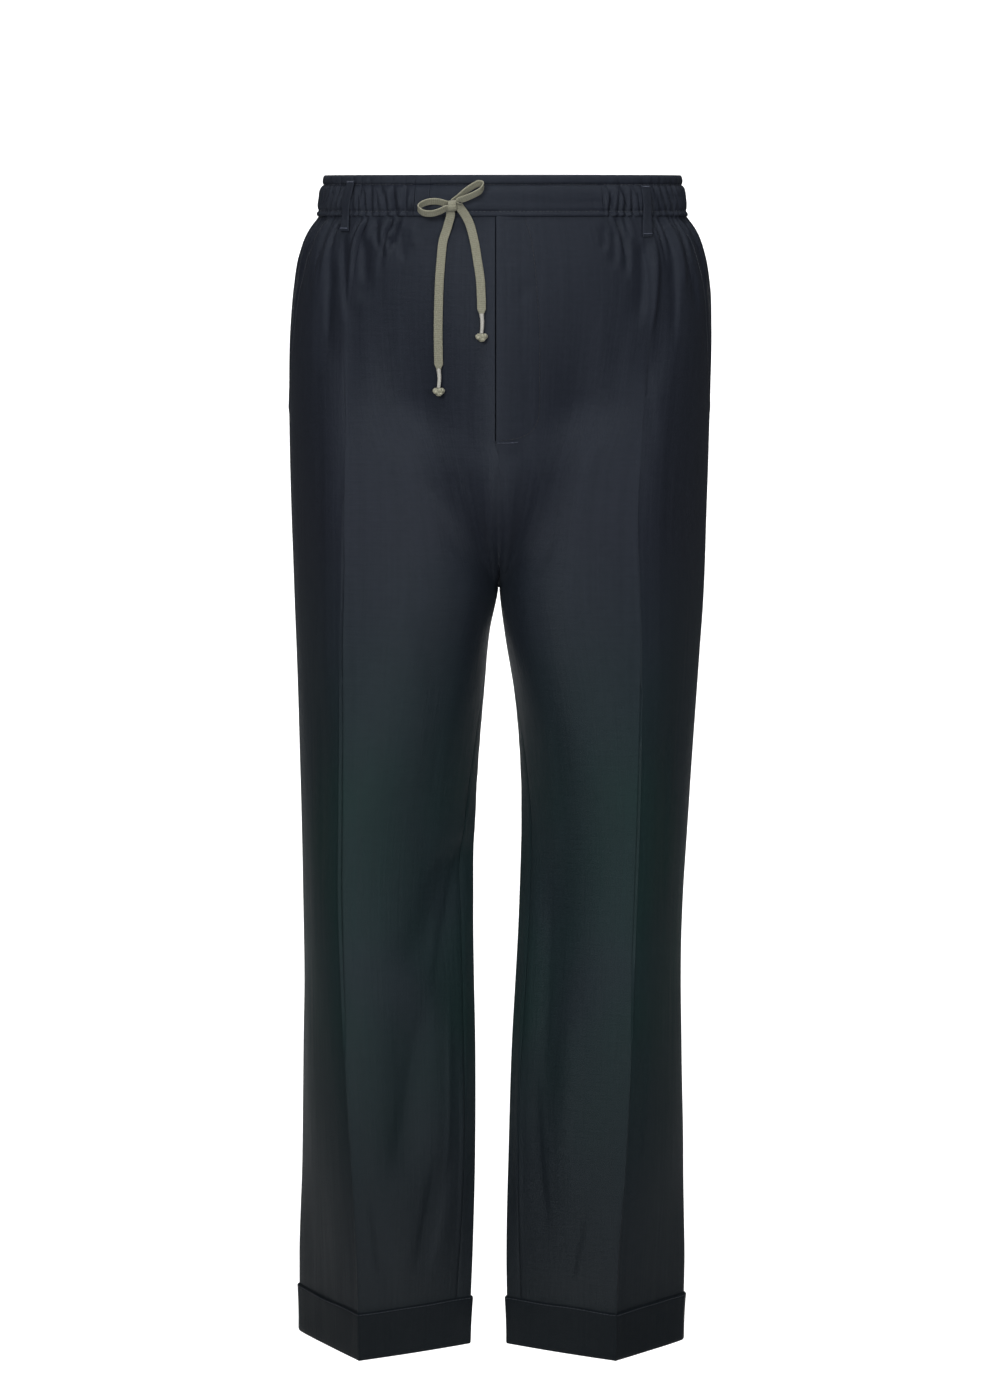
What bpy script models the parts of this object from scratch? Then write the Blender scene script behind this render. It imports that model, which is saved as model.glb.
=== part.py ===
"""Drawstring trousers, hollow as when worn, held at the waist.

Lengths in the tables are millimetres. X runs from the wearer's right to the left, the front faces -Y, and Z is
up with its zero at the top edge of the waistband, so that a drop of 100 is a height of -100.

Each half of the trousers is one skin, worked out by skin() from two numbers: the drop below the waist, and a
place round the body that runs from 0 at the side seam over the front to 1 at the centre or the inseam, and on
over the back to 2 at the side seam again. Every cut piece is a stretch of that skin with a wall of cloth.
"""

import math

import bmesh
import bpy
import numpy as np

MM = 0.001

# Sizes of the cloth and of the seams
CLOTH = 1.5
BAND_CLOTH = 1.5
SEAM_GAP = 0.3
SEAM_PLACE = 0.0012
POCKET_PLACE = 0.0022

# Heights, as drops below the top edge of the waistband
BAND_END = 35.0
PANEL_TOP = BAND_END + SEAM_GAP
GATHER_END = 100.0
FLY_END = 224.0
CROTCH = 354.0
CUFF_TOP = 976.0
HEM = 1020.0

# Places round the body. Above the crotch the centre front and the centre back are apart, though both are at 1
CREASE = 0.5
CENTRE_BACK = 1.000001
INSEAM_SHIFT = 0.07
POCKET_PLACE_TOP = 0.235
POCKET_END = 205.0
POCKET_STEP = 1.0
SQUARENESS = 2.2
PRESSED = 0.55

# The inner thighs grow fuller over the first of these stretches, and less so over the second. Over the third
# their inner edges fall from the depth of the creases to that of the inseam
THIGH_RISE = (185.0, 250.0)
THIGH_FADE = (340.0, 620.0)
CROTCH_FALL = (200.0, 350.0)

# Flat front of the waistband, as degrees from the centre front, the wearer's right below zero
FLAT_RIGHT = -25.5
TAB_END = -20.3
FLAT_LEFT = 30.8
TAB_LIFT = 0.6

# Fly: the left front laps over the right one by this much
FLY_LAP = 3.0
FLY_LIFT = 1.2

# Numbers of gathers at the waist on each piece
GATHERS_FACING = 4
GATHERS_FRONT = {"right": 9, "left": 8}
GATHERS_BACK = 18
GATHER_HEIGHT = 1.9

# Rows of each panel: fine ones through the gathers, broad ones below, whose columns part at the crease
FINE_DROPS = (PANEL_TOP, 41.0, 49.0, 59.0, 70.0, 84.0, GATHER_END)
BROAD_DROPS = (130, 168, 205, 243, 278, 308, 332, 347, 354, 374, 410, 465, 535, 620, 705, 790, 870, 945)
HEM_INSIDE = HEM - SEAM_GAP
FRONT_COLUMNS = 6
BACK_COLUMNS = 7

SIDES = {"right": -1.0, "left": 1.0}

# Half widths at the side seams, and how far the body comes forward and back of them
BODY_COLUMNS = ("drop", "right", "left", "front", "back")
BODY = (
    (0, 147.5, 153.5, 96, 94),
    (35, 154.5, 160.5, 101, 99),
    (48, 162.5, 168.5, 104, 106),
    (69, 170.5, 176.0, 108, 113),
    (95, 175.5, 181.0, 111, 118),
    (130, 179.0, 182.5, 113, 123),
    (180, 180.8, 182.0, 113, 127),
    (230, 180.8, 181.0, 112, 127),
    (290, 179.5, 179.0, 111, 121),
    (365, 177.3, 176.9, 108, 106),
    (418, 175.3, 173.5, 106, 100),
    (523, 173.2, 166.7, 100, 92),
    (630, 171.7, 160.3, 95, 90),
    (697, 171.2, 159.3, 92, 90),
    (764, 172.4, 160.5, 90, 88),
    (846, 174.0, 162.5, 85, 85),
    (927, 175.0, 162.0, 80, 82),
    (1020, 175.0, 160.0, 78, 80),
)

# Each leg: the inner edge's distance from the middle, the depths of the side seam and of the inner edge,
# and the two pressed creases, each with its distance from the middle and its depth. Depths in front are
# below zero
LEG_COLUMNS = ("drop", "inner", "side_y", "inner_y", "front_x", "front_y", "rear_x", "rear_y")
LEGS = {
    "right": (
        (0, 0.0, 0, 0, 112, -72, 100, 70),
        (100, 0.0, 0, 0, 128, -84, 106, 92),
        (200, 0.0, 0, 0, 130, -102, 102, 112),
        (300, 0.0, 2, 0, 133, -110, 95, 111),
        (354, 0.3, 5, 0, 134, -110, 90, 103),
        (390, 7.6, 8, -2, 135, -109, 88, 96),
        (443, 13.0, 10, -4, 135, -107, 85, 87),
        (523, 19.1, 12, -6, 136, -101, 82, 84),
        (627, 21.8, 16, -8, 137, -92, 80, 84),
        (693, 21.4, 18, -8, 135, -87, 80, 84),
        (760, 20.1, 20, -9, 132, -83, 81, 83),
        (845, 20.2, 24, -11, 127, -78, 83, 80),
        (927, 22.4, 27, -13, 123, -74, 84, 78),
        (1020, 25.6, 30, -14, 121, -70, 85, 78),
    ),
    "left": (
        (0, 0.0, 0, 0, 112, -72, 100, 70),
        (100, 0.0, 0, 0, 115, -88, 106, 92),
        (200, 0.0, 0, 0, 117, -103, 102, 112),
        (300, 0.0, 0, 0, 118, -110, 94, 111),
        (354, 0.3, 0, 0, 120, -110, 88, 103),
        (390, 4.3, 0, -2, 121, -109, 85, 95),
        (443, 13.0, 0, -4, 121, -107, 80, 86),
        (523, 19.1, 0, -6, 120, -101, 74, 82),
        (627, 17.4, 0, -8, 117, -92, 68, 80),
        (693, 14.0, 0, -8, 115, -87, 65, 79),
        (760, 10.5, 0, -9, 113, -83, 62, 78),
        (845, 7.9, 0, -11, 109, -78, 60, 76),
        (927, 6.2, 0, -13, 103, -74, 60, 75),
        (1020, 7.1, 0, -14, 101, -70, 60, 75),
    ),
}

# Soft folds: side, place and drop of the upper end, place and drop of the lower end, width across, and height,
# which is below zero where the cloth sinks in
FOLDS = (
    ("right", 0.42, 60, 0.40, 170, 0.06, -3.0),
    ("right", 0.56, 50, 0.56, 110, 0.04, -2.5),
    ("right", 0.92, 560, 0.72, 690, 0.08, -4.0),
    ("right", 0.72, 690, 0.68, 880, 0.08, -4.0),
    ("right", 1.60, 60, 1.55, 180, 0.07, -3.0),
    ("right", 1.10, 620, 1.35, 820, 0.08, -4.0),
    ("left", 0.44, 60, 0.46, 190, 0.06, -3.0),
    ("left", 0.80, 560, 0.80, 860, 0.07, -3.0),
    ("left", 1.60, 60, 1.55, 180, 0.07, -3.0),
    ("left", 1.12, 640, 1.35, 840, 0.08, -4.0),
)

# Waistband from the top edge down: how far the outside stands off the skin, and the height of its puckers
BAND_COLUMNS = ("drop", "stand", "pucker")
BAND = (
    (0, 0.9, 0.3),
    (5.5, 0.6, 0.5),
    (9, 1.8, 0.7),
    (20, 2.6, 1.1),
    (29, 2.2, 1.5),
    (35, 1.0, 1.2),
)

# Belt loops: degrees from the centre front, and the drops of the two ends
BELT_LOOPS = (
    ("belt_loop_front_right", -57.0, 5.0, 48.0),
    ("belt_loop_front_left", 52.0, 9.0, 52.0),
    ("belt_loop_back_right", -130.0, 6.0, 49.0),
    ("belt_loop_back_left", 130.0, 6.0, 49.0),
    ("belt_loop_centre_back", 180.0, 6.0, 49.0),
)
LOOP_WIDTH = 11.0
LOOP_CLOTH = 1.2
BAND_MM_A_DEGREE = 2.6
BAND_GAP_DEGREES = 0.06
FLARE_CLEARANCE = 1.2

# Turn-up: how far its outside stands off the leg, from the hem up
CUFF = ((HEM, 1.9), (1006, 2.2), (988, 2.2), (CUFF_TOP, 2.6))
CUFF_PLACES = 28

# Drawstring: a flat braid. Each route is the middle of the braid, as distance from the middle, depth and drop
BRAID_WIDTH = 7.2
BRAID_THICKNESS = 1.4
BRAID_STATIONS = 15
KNOT_MIDDLE = (-39.0, -106.0, 26.0)
KNOT_SIZE = (8.4, 11.0, 8.8)
LOOP_ACROSS = (0.0, -0.7, 0.7)
TAIL_ACROSS = (1.0, 0.0, 0.0)
LOOPS = {
    "loop_right": (
        (-43.6, -103.6, 24.4), (-50.0, -103.4, 22.6), (-58.0, -103.6, 22.6), (-64.0, -104.8, 24.6),
        (-67.2, -107.0, 27.8), (-64.0, -109.2, 31.2), (-57.0, -110.4, 32.4), (-50.0, -110.4, 30.8),
        (-43.6, -109.4, 28.2),
    ),
    "loop_left": (
        (-34.4, -103.2, 19.4), (-28.4, -103.2, 14.2), (-22.0, -103.4, 10.0), (-16.6, -104.6, 7.6),
        (-13.2, -107.0, 8.6), (-14.6, -109.4, 12.6), (-20.6, -110.4, 16.6), (-27.0, -110.4, 19.4),
        (-34.0, -109.4, 22.6),
    ),
}
TAILS = {
    "tail_right": (
        (-40.6, -105.4, 30.9), (-42.6, -104.2, 42.0), (-46.4, -105.2, 54.0), (-48.4, -107.0, 71.0),
        (-49.6, -108.4, 87.0), (-50.3, -108.8, 104.0), (-50.8, -108.0, 128.0), (-50.7, -107.0, 145.0),
        (-50.4, -105.6, 161.5),
    ),
    "tail_left": (
        (-32.0, -106.4, 28.2), (-29.2, -105.6, 32.0), (-25.8, -105.2, 38.0), (-21.0, -107.2, 54.0),
        (-18.2, -109.6, 70.0), (-15.7, -112.4, 87.0), (-14.8, -114.4, 103.0), (-14.6, -115.8, 115.6),
    ),
}
TIPS = {"right": ((-50.4, -105.4, 161.8), 14.2), "left": ((-14.6, -116.2, 115.9), 14.6)}
WHIPPING_RADIUS = 1.8
END_KNOT = (10.2, 5.6, 7.0)

NAVY = (0.018, 0.023, 0.031, 1.0)
KHAKI = (0.24, 0.24, 0.18, 1.0)


def smoothstep(value):
    """Rises from 0 to 1 as the value does, with level ends."""
    t = np.clip(value, 0.0, 1.0)
    return t * t * (3.0 - 2.0 * t)


def through(knots, values, at):
    """Cubic pieces through the given values, each slope taken from its neighbours."""
    knots, values = np.asarray(knots, dtype=float), np.asarray(values, dtype=float)
    slopes = np.gradient(values, knots)
    at = np.clip(np.asarray(at, dtype=float), knots[0], knots[-1])
    k = np.clip(np.searchsorted(knots, at, side="right") - 1, 0, len(knots) - 2)
    step = knots[k + 1] - knots[k]
    t = (at - knots[k]) / step
    start = (1 + 2 * t) * (1 - t) ** 2 * values[k] + t * (1 - t) ** 2 * step * slopes[k]
    end = t * t * (3 - 2 * t) * values[k + 1] + t * t * (t - 1) * step * slopes[k + 1]
    return start + end


def column(table, names, name, drop):
    """One column of a table at the given drops."""
    return through([row[0] for row in table], [row[names.index(name)] for row in table], drop)


def body_section(side, u, face, drop):
    """Quarter of a rounded oblong, from the side seam at u = 0 to the centre front or back at u = 1."""
    width = column(BODY, BODY_COLUMNS, side, drop)
    front = column(BODY, BODY_COLUMNS, "front", drop)
    back = column(BODY, BODY_COLUMNS, "back", drop)
    depth = np.where(face < 0, front, back)
    angle = u * math.pi / 2
    power = 2.0 / SQUARENESS
    return width * np.cos(angle).clip(0.0) ** power, face * depth * np.sin(angle) ** power


def leg_section(side, u, face, drop):
    """Half a leg, from the side seam over the crease at u = 0.5 to the inner edge at u = 1.

    Each of the two stretches lies between a straight line and a quarter of an ellipse: PRESSED is the
    line's share. High on the thigh the inner stretch is fuller than that, as the two legs press together.
    """
    table = LEGS[side]

    def value(name):
        return column(table, LEG_COLUMNS, name, drop)

    side_x = column(BODY, BODY_COLUMNS, side, drop)
    side_y = value("side_y")
    crease_x = np.where(face < 0, value("front_x"), value("rear_x"))
    crease_y = np.where(face < 0, value("front_y"), value("rear_y"))
    outer = u < CREASE
    t = np.where(outer, u / CREASE, (1.0 - u) / (1.0 - CREASE)).clip(0.0, 1.0)
    rise = smoothstep((drop - THIGH_RISE[0]) / (THIGH_RISE[1] - THIGH_RISE[0]))
    fade = smoothstep((drop - THIGH_FADE[0]) / (THIGH_FADE[1] - THIGH_FADE[0]))
    forward = rise * (1.0 - smoothstep((drop - CROTCH_FALL[0]) / (CROTCH_FALL[1] - CROTCH_FALL[0])))
    inner_y = value("inner_y") + forward * (crease_y - value("inner_y"))
    end_x = np.where(outer, side_x, value("inner"))
    end_y = np.where(outer, side_y, inner_y)
    round_x = crease_x + (end_x - crease_x) * np.cos(t * math.pi / 2)
    round_y = end_y + (crease_y - end_y) * np.sin(t * math.pi / 2)
    x = PRESSED * (end_x + (crease_x - end_x) * t) + (1.0 - PRESSED) * round_x
    y = PRESSED * (end_y + (crease_y - end_y) * t) + (1.0 - PRESSED) * round_y
    full = np.where(outer, 0.0, rise * (1.0 - fade))
    full_x = end_x + (crease_x - end_x) * t**2
    full_y = end_y + (crease_y - end_y) * (1.0 - (1.0 - t) ** 2.5)
    return x + full * (full_x - x), y + full * (full_y - y)


def body_share(u, face, drop):
    """How much of the skin is body and not leg: none below the crease's start or, at the centre, the crotch."""
    at_crease = 1.0 - smoothstep((drop - 50.0) / 250.0)
    rise = np.clip((drop - 190.0) / (CROTCH - 190.0), 0.0, 1.0)
    at_centre = np.where(face < 0, (1.0 - rise**2) ** 0.6, (1.0 - rise**3) ** 0.6)
    inner = smoothstep((u - CREASE) / (1.0 - CREASE))
    return (1.0 - inner) * at_crease + inner * at_centre


def bare_skin(side, place, drop):
    """Points of one half, with X counted outwards from the middle."""
    place = np.mod(place, 2.0)
    face = np.where(place <= 1.0, -1.0, 1.0)
    u = np.where(place <= 1.0, place, 2.0 - place)
    share = body_share(u, face, drop)
    body_x, body_y = body_section(side, u, face, drop)
    leg_x, leg_y = leg_section(side, u, face, drop)
    x = share * body_x + (1.0 - share) * leg_x
    y = share * body_y + (1.0 - share) * leg_y
    return np.stack(np.broadcast_arrays(x, y, -np.asarray(drop, dtype=float)), axis=-1)


def outward(side, place, drop):
    """Unit vectors square to the skin, from small steps round it and down it."""
    step = 0.004
    above = drop < CROTCH
    low = np.where(above & (place > 1.0), np.maximum(place - step, CENTRE_BACK), place - step)
    high = np.where(above & (place <= 1.0), np.minimum(place + step, 1.0), place + step)
    around = bare_skin(side, high, drop) - bare_skin(side, low, drop)
    down = bare_skin(side, place, drop + 1.0) - bare_skin(side, place, drop - 1.0)
    normal = np.cross(around, down)
    return normal / np.linalg.norm(normal, axis=-1, keepdims=True)


def fold_height(side, place, drop):
    """Sum of the soft folds: each is a bell across its line and fades at both ends."""
    total = np.zeros(np.broadcast(place, drop).shape)
    for fold_side, start, start_drop, end, end_drop, width, height in FOLDS:
        if fold_side == side:
            along = (drop - start_drop) / (end_drop - start_drop)
            line = start + (end - start) * np.clip(along, 0.0, 1.0)
            fade = smoothstep(along / 0.3) * smoothstep((1.0 - along) / 0.3)
            total = total + height * fade * np.exp(-(((place - line) / width) ** 2))
    return total


def skin(side, place, drop, stand=0.0, square_at=None):
    """World points of one half, moved out by stand along the outward direction, which square_at may place."""
    place, drop, stand = np.broadcast_arrays(*(np.asarray(v, dtype=float) for v in (place, drop, stand)))
    direction = outward(side, place if square_at is None else square_at, drop)
    height = fold_height(side, place, drop) + stand
    points = bare_skin(side, place, drop) + direction * height[..., None]
    points[..., 0] = np.where(drop < CROTCH, np.maximum(points[..., 0], SEAM_GAP / 2), points[..., 0])
    points[..., 0] *= SIDES[side]
    return points


def strip(above, below, at_above, at_below):
    """Triangles between two rows of corners, which may hold different numbers: the row that lags moves on."""
    faces = []
    i = j = 0
    while i < len(above) - 1 or j < len(below) - 1:
        above_next = at_above[i + 1] if i < len(above) - 1 else math.inf
        below_next = at_below[j + 1] if j < len(below) - 1 else math.inf
        if above_next <= below_next:
            faces.append((above[i], below[j], above[i + 1]))
            i += 1
        else:
            faces.append((above[i], below[j], below[j + 1]))
            j += 1
    return faces


def add_object(name, points, faces, material):
    """Makes one closed piece from corners in millimetres, with every face turned outwards."""
    mesh = bpy.data.meshes.new(name)
    work = bmesh.new()
    corners = [work.verts.new(point) for point in np.asarray(points) * MM]
    for face in faces:
        work.faces.new([corners[k] for k in face])
    bmesh.ops.recalc_face_normals(work, faces=work.faces)
    work.to_mesh(mesh)
    work.free()
    mesh.materials.append(material)
    mesh.shade_smooth()
    mesh.set_sharp_from_angle(angle=math.radians(35))
    piece = bpy.data.objects.new(name, mesh)
    PIECES.objects.link(piece)
    return piece


def wall(name, material, outer, inner, places=None, looped=False):
    """A closed wall between an outer and an inner skin, both given as rows of points from the top down.

    A looped wall runs right round, so only its top and bottom have rims.
    """
    rows = list(outer) + list(inner)
    places = places or [np.linspace(0.0, 1.0, len(row)) for row in outer]
    starts = np.cumsum([0] + [len(row) for row in rows])
    corners = [list(range(start, start + len(row))) for start, row in zip(starts, rows)]
    if looped:
        corners = [row + row[:1] for row in corners]
        places = [np.append(at, 2 * at[-1] - at[-2]) for at in places]
    count = len(outer)
    faces = []
    for layer in (corners[:count], corners[count:]):
        for k in range(count - 1):
            faces += strip(layer[k], layer[k + 1], places[k], places[k + 1])
    for k in (0, -1):
        faces += strip(corners[:count][k], corners[count:][k], places[k], places[k])
    if not looped:
        down = list(range(count))
        for edge in (0, -1):
            outer_edge = [row[edge] for row in corners[:count]]
            inner_edge = [row[edge] for row in corners[count:]]
            faces += strip(outer_edge, inner_edge, down, down)
    return add_object(name, np.concatenate(rows), faces, material)


def pocket_place(drop):
    """Where the slanted pocket edge crosses this height: a straight line from waistband to side seam."""
    return POCKET_PLACE_TOP * np.clip((POCKET_END - drop) / (POCKET_END - PANEL_TOP), 0.0, 1.0)


def inseam_place(drop):
    """The inseam leaves the inner edge below the crotch and comes a little to the front."""
    return 1.0 - INSEAM_SHIFT * smoothstep((drop - CROTCH) / 220.0)


def gather_wave(count, flat, drop):
    """Heights of the gathers across a row: up and down by turns, with uneven lengths, then a flat stretch."""
    k = np.arange(2 * count + 1)
    reach = 62.0 + 26.0 * np.sin(2.4 * k) + 12.0 * np.sin(5.1 * k)
    fade = 1.0 - smoothstep((drop - PANEL_TOP) / reach)
    swell = 0.75 + 0.5 * smoothstep((drop - PANEL_TOP) / 14.0)
    wave = np.where(k % 2 == 1, 1.0, -1.0) * GATHER_HEIGHT * swell * fade
    wave[0] = wave[-1] = 0.0
    return np.append(wave, np.zeros(flat))


def front_rows(side):
    """Places and gather heights of a front panel, one pair a drop."""
    count = GATHERS_FRONT[side]
    edge = FLAT_RIGHT if side == "right" else FLAT_LEFT
    flat_place = 1.0 - abs(edge) / 90.0
    for drop in FINE_DROPS:
        start = pocket_place(drop)
        gathered = np.linspace(start, flat_place, 2 * count + 1)
        plain = np.linspace(flat_place, 1.0, FRONT_COLUMNS + 1)[1:]
        yield drop, np.append(gathered, plain), gather_wave(count, FRONT_COLUMNS, drop)
    for drop in BROAD_DROPS + (HEM_INSIDE,):
        start, end = pocket_place(drop), inseam_place(drop)
        outer = np.linspace(start, CREASE, FRONT_COLUMNS + 1)
        inner = np.linspace(CREASE, end, FRONT_COLUMNS + 1)[1:]
        places = np.append(outer, inner)
        yield drop, places, np.zeros(len(places))


def back_rows(side):
    """Places and gather heights of a back panel, from the side seam to the centre back or the inseam."""
    for drop in FINE_DROPS:
        yield drop, np.linspace(2.0, CENTRE_BACK, 2 * GATHERS_BACK + 1), gather_wave(GATHERS_BACK, 0, drop)
    for drop in BROAD_DROPS + (HEM_INSIDE,):
        outer = np.linspace(2.0, 2.0 - CREASE, BACK_COLUMNS + 1)
        end = CENTRE_BACK if drop < CROTCH else inseam_place(drop)
        inner = np.linspace(2.0 - CREASE, end, BACK_COLUMNS + 1)[1:]
        places = np.append(outer, inner)
        yield drop, places, np.zeros(len(places))


def centre_shift(points, places, drop, side):
    """Moves the centre edge to the fly's lap, and lifts the left front where it laps over the right one."""
    lap = 1.0 - smoothstep((drop - FLY_END) / 12.0)
    near = smoothstep((places - 0.90) / 0.10) * lap
    points[:, 0] -= FLY_LAP * near
    if side == "left":
        points[:, 1] -= FLY_LIFT * smoothstep((places - 0.93) / 0.05) * lap
    return points


def trim(places, start_gap, end_gap):
    """Draws both edges of a row in from its seams."""
    trimmed = np.array(places)
    turn = 1.0 if places[-1] > places[0] else -1.0
    trimmed[0] += turn * start_gap
    trimmed[-1] -= turn * end_gap
    return trimmed


def panel(name, side, rows, material, gaps=(SEAM_PLACE, SEAM_PLACE), sink=0.0, centre=False):
    """One cut panel: a stretch of skin, drawn in by the seam gaps, with the cloth's wall behind it."""
    outer, inner, stations = [], [], []
    for drop, places, heights in rows:
        trimmed = trim(places, *gaps)
        for layer, depth in ((outer, sink), (inner, sink + CLOTH)):
            points = skin(side, trimmed, drop, heights - depth, square_at=places)
            if centre:
                points = centre_shift(points, places, drop, side)
            layer.append(points)
        stations.append((places - places[0]) / (places[-1] - places[0]))
    return wall(name, material, outer, inner, stations)


def facing_rows(side):
    """Places and gather heights of the cloth behind a slanted pocket edge, from that edge to the side seam."""
    for drop in FINE_DROPS + (125.0, 165.0, POCKET_END - 10.0):
        places = np.linspace(pocket_place(drop) - POCKET_PLACE, SEAM_PLACE, 2 * GATHERS_FACING + 1)
        yield drop, places, gather_wave(GATHERS_FACING, 0, drop)


def ring_point(degrees, drop, stand):
    """A point of the skin at an angle from the centre front, the wearer's right below zero."""
    turn = np.abs(degrees) / 90.0
    place = np.where(turn <= 1.0, 1.0 - turn, np.maximum(3.0 - turn, CENTRE_BACK))
    right = skin("right", place, drop, stand)
    left = skin("left", place, drop, stand)
    points = np.where((degrees < 0)[:, None], right, left)
    middle = (degrees == 0) | (np.abs(degrees) == 180)
    points[middle, 0] = 0.0
    return points


def band_piece(name, degrees, puckers, material, lift=0.0):
    """A stretch of the waistband between its first and last angle, puckered where puckers is not zero."""
    degrees = np.array(degrees)
    degrees[0] += BAND_GAP_DEGREES
    degrees[-1] -= BAND_GAP_DEGREES
    outer, inner = [], []
    for drop, stand, pucker in BAND:
        outer.append(ring_point(degrees, drop, stand + lift + pucker * puckers))
        inner.append(ring_point(degrees, drop, np.full(len(degrees), -BAND_CLOTH)))
    return wall(name, material, outer, inner)


def make_waistband(material):
    """The gathered stretch that goes round the back, and the two flat ones in front."""
    count = 2 * (2 * GATHERS_FACING + 2 * GATHERS_BACK + GATHERS_FRONT["right"] + GATHERS_FRONT["left"])
    gathered = np.linspace(FLAT_LEFT, 360.0 + FLAT_RIGHT, count + 1)
    k = np.arange(count + 1)
    puckers = np.where(k % 2 == 1, 1.0, -1.0) * (0.8 + 0.2 * np.sin(1.7 * k))
    puckers[0] = puckers[-1] = 0.0
    around = np.where(gathered > 180.0, gathered - 360.0, gathered)
    band_piece("waistband_back", around, puckers, material)
    under = np.linspace(FLAT_RIGHT, TAB_END, 4)
    band_piece("waistband_front_right", under, np.zeros(4), material)
    tab = np.linspace(TAB_END, FLAT_LEFT, 13)
    band_piece("waistband_front_left", tab, np.zeros(13), material, lift=TAB_LIFT)


def make_belt_loops(material):
    """Straight strips of folded cloth that stand clear of the puckers and end below the waistband."""
    for name, middle, top, bottom in BELT_LOOPS:
        half = LOOP_WIDTH / 2 / BAND_MM_A_DEGREE
        around = middle + np.array([-half, 0.0, half])
        if middle == 180.0:
            around = np.array([180.0 - half, 180.0, half - 180.0])
        outer, inner = [], []
        for drop in (top, top + 6, 20.0, 29.0, 36.0, bottom - 6, bottom):
            stand = column(BAND, BAND_COLUMNS, "stand", min(drop, BAND_END))
            pucker = column(BAND, BAND_COLUMNS, "pucker", min(drop, BAND_END))
            clear = stand + pucker + SEAM_GAP + FLARE_CLEARANCE * float(smoothstep((drop - 29.0) / 8.0))
            inner.append(ring_point(around, drop, np.full(3, clear)))
            outer.append(ring_point(around, drop, np.full(3, clear + LOOP_CLOTH)))
        wall(name, material, outer, inner)


def make_cuff(name, side, material):
    """A turn-up: a ring of cloth just outside the leg, open at its top edge."""
    places = np.linspace(0.0, 2.0, CUFF_PLACES, endpoint=False)
    outer = [skin(side, places, drop, stand) for drop, stand in CUFF]
    inner = [skin(side, places, drop, SEAM_GAP) for drop, stand in CUFF]
    return wall(name, material, outer, inner, looped=True)


def loft(name, rings, material):
    """A closed body through rings of corners, one after another, with a flat face on each end."""
    count = len(rings[0])
    faces = [tuple(range(count)), tuple(range((len(rings) - 1) * count, len(rings) * count))]
    for k in range(len(rings) - 1):
        for m in range(count):
            n = (m + 1) % count
            faces.append((k * count + m, k * count + n, (k + 1) * count + n, (k + 1) * count + m))
    return add_object(name, np.concatenate(rings), faces, material)


def ribbon(name, route, across, material, end_taper=1.0):
    """Flat braid along a route, with its width lying as nearly as it can in the direction across."""
    points = np.array([(x, y, -drop) for x, y, drop in route])
    chords = np.linalg.norm(np.diff(points, axis=0), axis=1)
    length = np.concatenate([[0.0], np.cumsum(chords)])
    at = np.linspace(0.0, length[-1], BRAID_STATIONS)
    middle = np.stack([through(length, points[:, axis], at) for axis in range(3)], axis=1)
    ahead = np.gradient(middle, at, axis=0)
    ahead /= np.linalg.norm(ahead, axis=1, keepdims=True)
    side = np.array(across) - ahead * (ahead @ np.array(across))[:, None]
    side /= np.linalg.norm(side, axis=1, keepdims=True)
    face = np.cross(ahead, side)
    narrow = through([0.0, 0.9, 1.0], [1.0, 1.0, end_taper], at / at[-1])
    wide = side * (narrow * BRAID_WIDTH / 2)[:, None]
    thick = face * BRAID_THICKNESS / 2
    corners = (wide * 0.92 + thick, wide, wide * 0.92 - thick, -wide * 0.92 - thick, -wide, thick - wide * 0.92)
    rings = np.stack([middle + corner for corner in corners], axis=1)
    return loft(name, list(rings), material)


def round_piece(name, middle, size, material, rows=5, sides=8):
    """A closed ball of the given three sizes."""
    work = bmesh.new()
    bmesh.ops.create_uvsphere(work, u_segments=sides, v_segments=rows, radius=0.5)
    x, y, drop = middle
    for corner in work.verts:
        corner.co = (corner.co.x * size[0] + x, corner.co.y * size[1] + y, corner.co.z * size[2] - drop)
    points = [tuple(corner.co) for corner in work.verts]
    faces = [[corner.index for corner in face.verts] for face in work.faces]
    work.free()
    return add_object(name, points, faces, material)


def make_drawstring(braid):
    """The bow's knot and two loops, and two tails, each with a whipped end and a small knot below it."""
    round_piece("bow_knot", KNOT_MIDDLE, KNOT_SIZE, braid, rows=6, sides=10)
    for name, route in LOOPS.items():
        ribbon(name, route, LOOP_ACROSS, braid)
    for name, route in TAILS.items():
        ribbon(name, route, TAIL_ACROSS, braid, end_taper=0.6)
    for side, ((x, y, drop), length) in TIPS.items():
        turns = np.linspace(0.0, 2 * math.pi, 8, endpoint=False)
        circle = np.stack([np.cos(turns), np.sin(turns), np.zeros(8)], axis=1) * WHIPPING_RADIUS
        ends = (drop, drop + length)
        loft("whipping_" + side, [circle + np.array([x, y, -end]) for end in ends], braid)
        knot_drop = ends[1] + SEAM_GAP + END_KNOT[2] / 2
        round_piece("end_knot_" + side, (x, y, knot_drop), END_KNOT, braid)


def make_material(name, colour, roughness):
    """A plain finish in the part's own colour."""
    material = bpy.data.materials.new(name)
    material.use_nodes = True
    shader = material.node_tree.nodes["Principled BSDF"]
    shader.inputs["Base Color"].default_value = colour
    shader.inputs["Roughness"].default_value = roughness
    shader.inputs["Metallic"].default_value = 0.0
    return material


def make_panels(cloth):
    """The six pieces that are cut from the skin of the legs and the body."""
    for side in SIDES:
        panel("front_" + side, side, front_rows(side), cloth, gaps=(POCKET_PLACE, SEAM_PLACE), centre=True)
        panel("back_" + side, side, back_rows(side), cloth)
        panel("pocket_facing_" + side, side, facing_rows(side), cloth, gaps=(0.0, 0.0), sink=POCKET_STEP)


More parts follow.
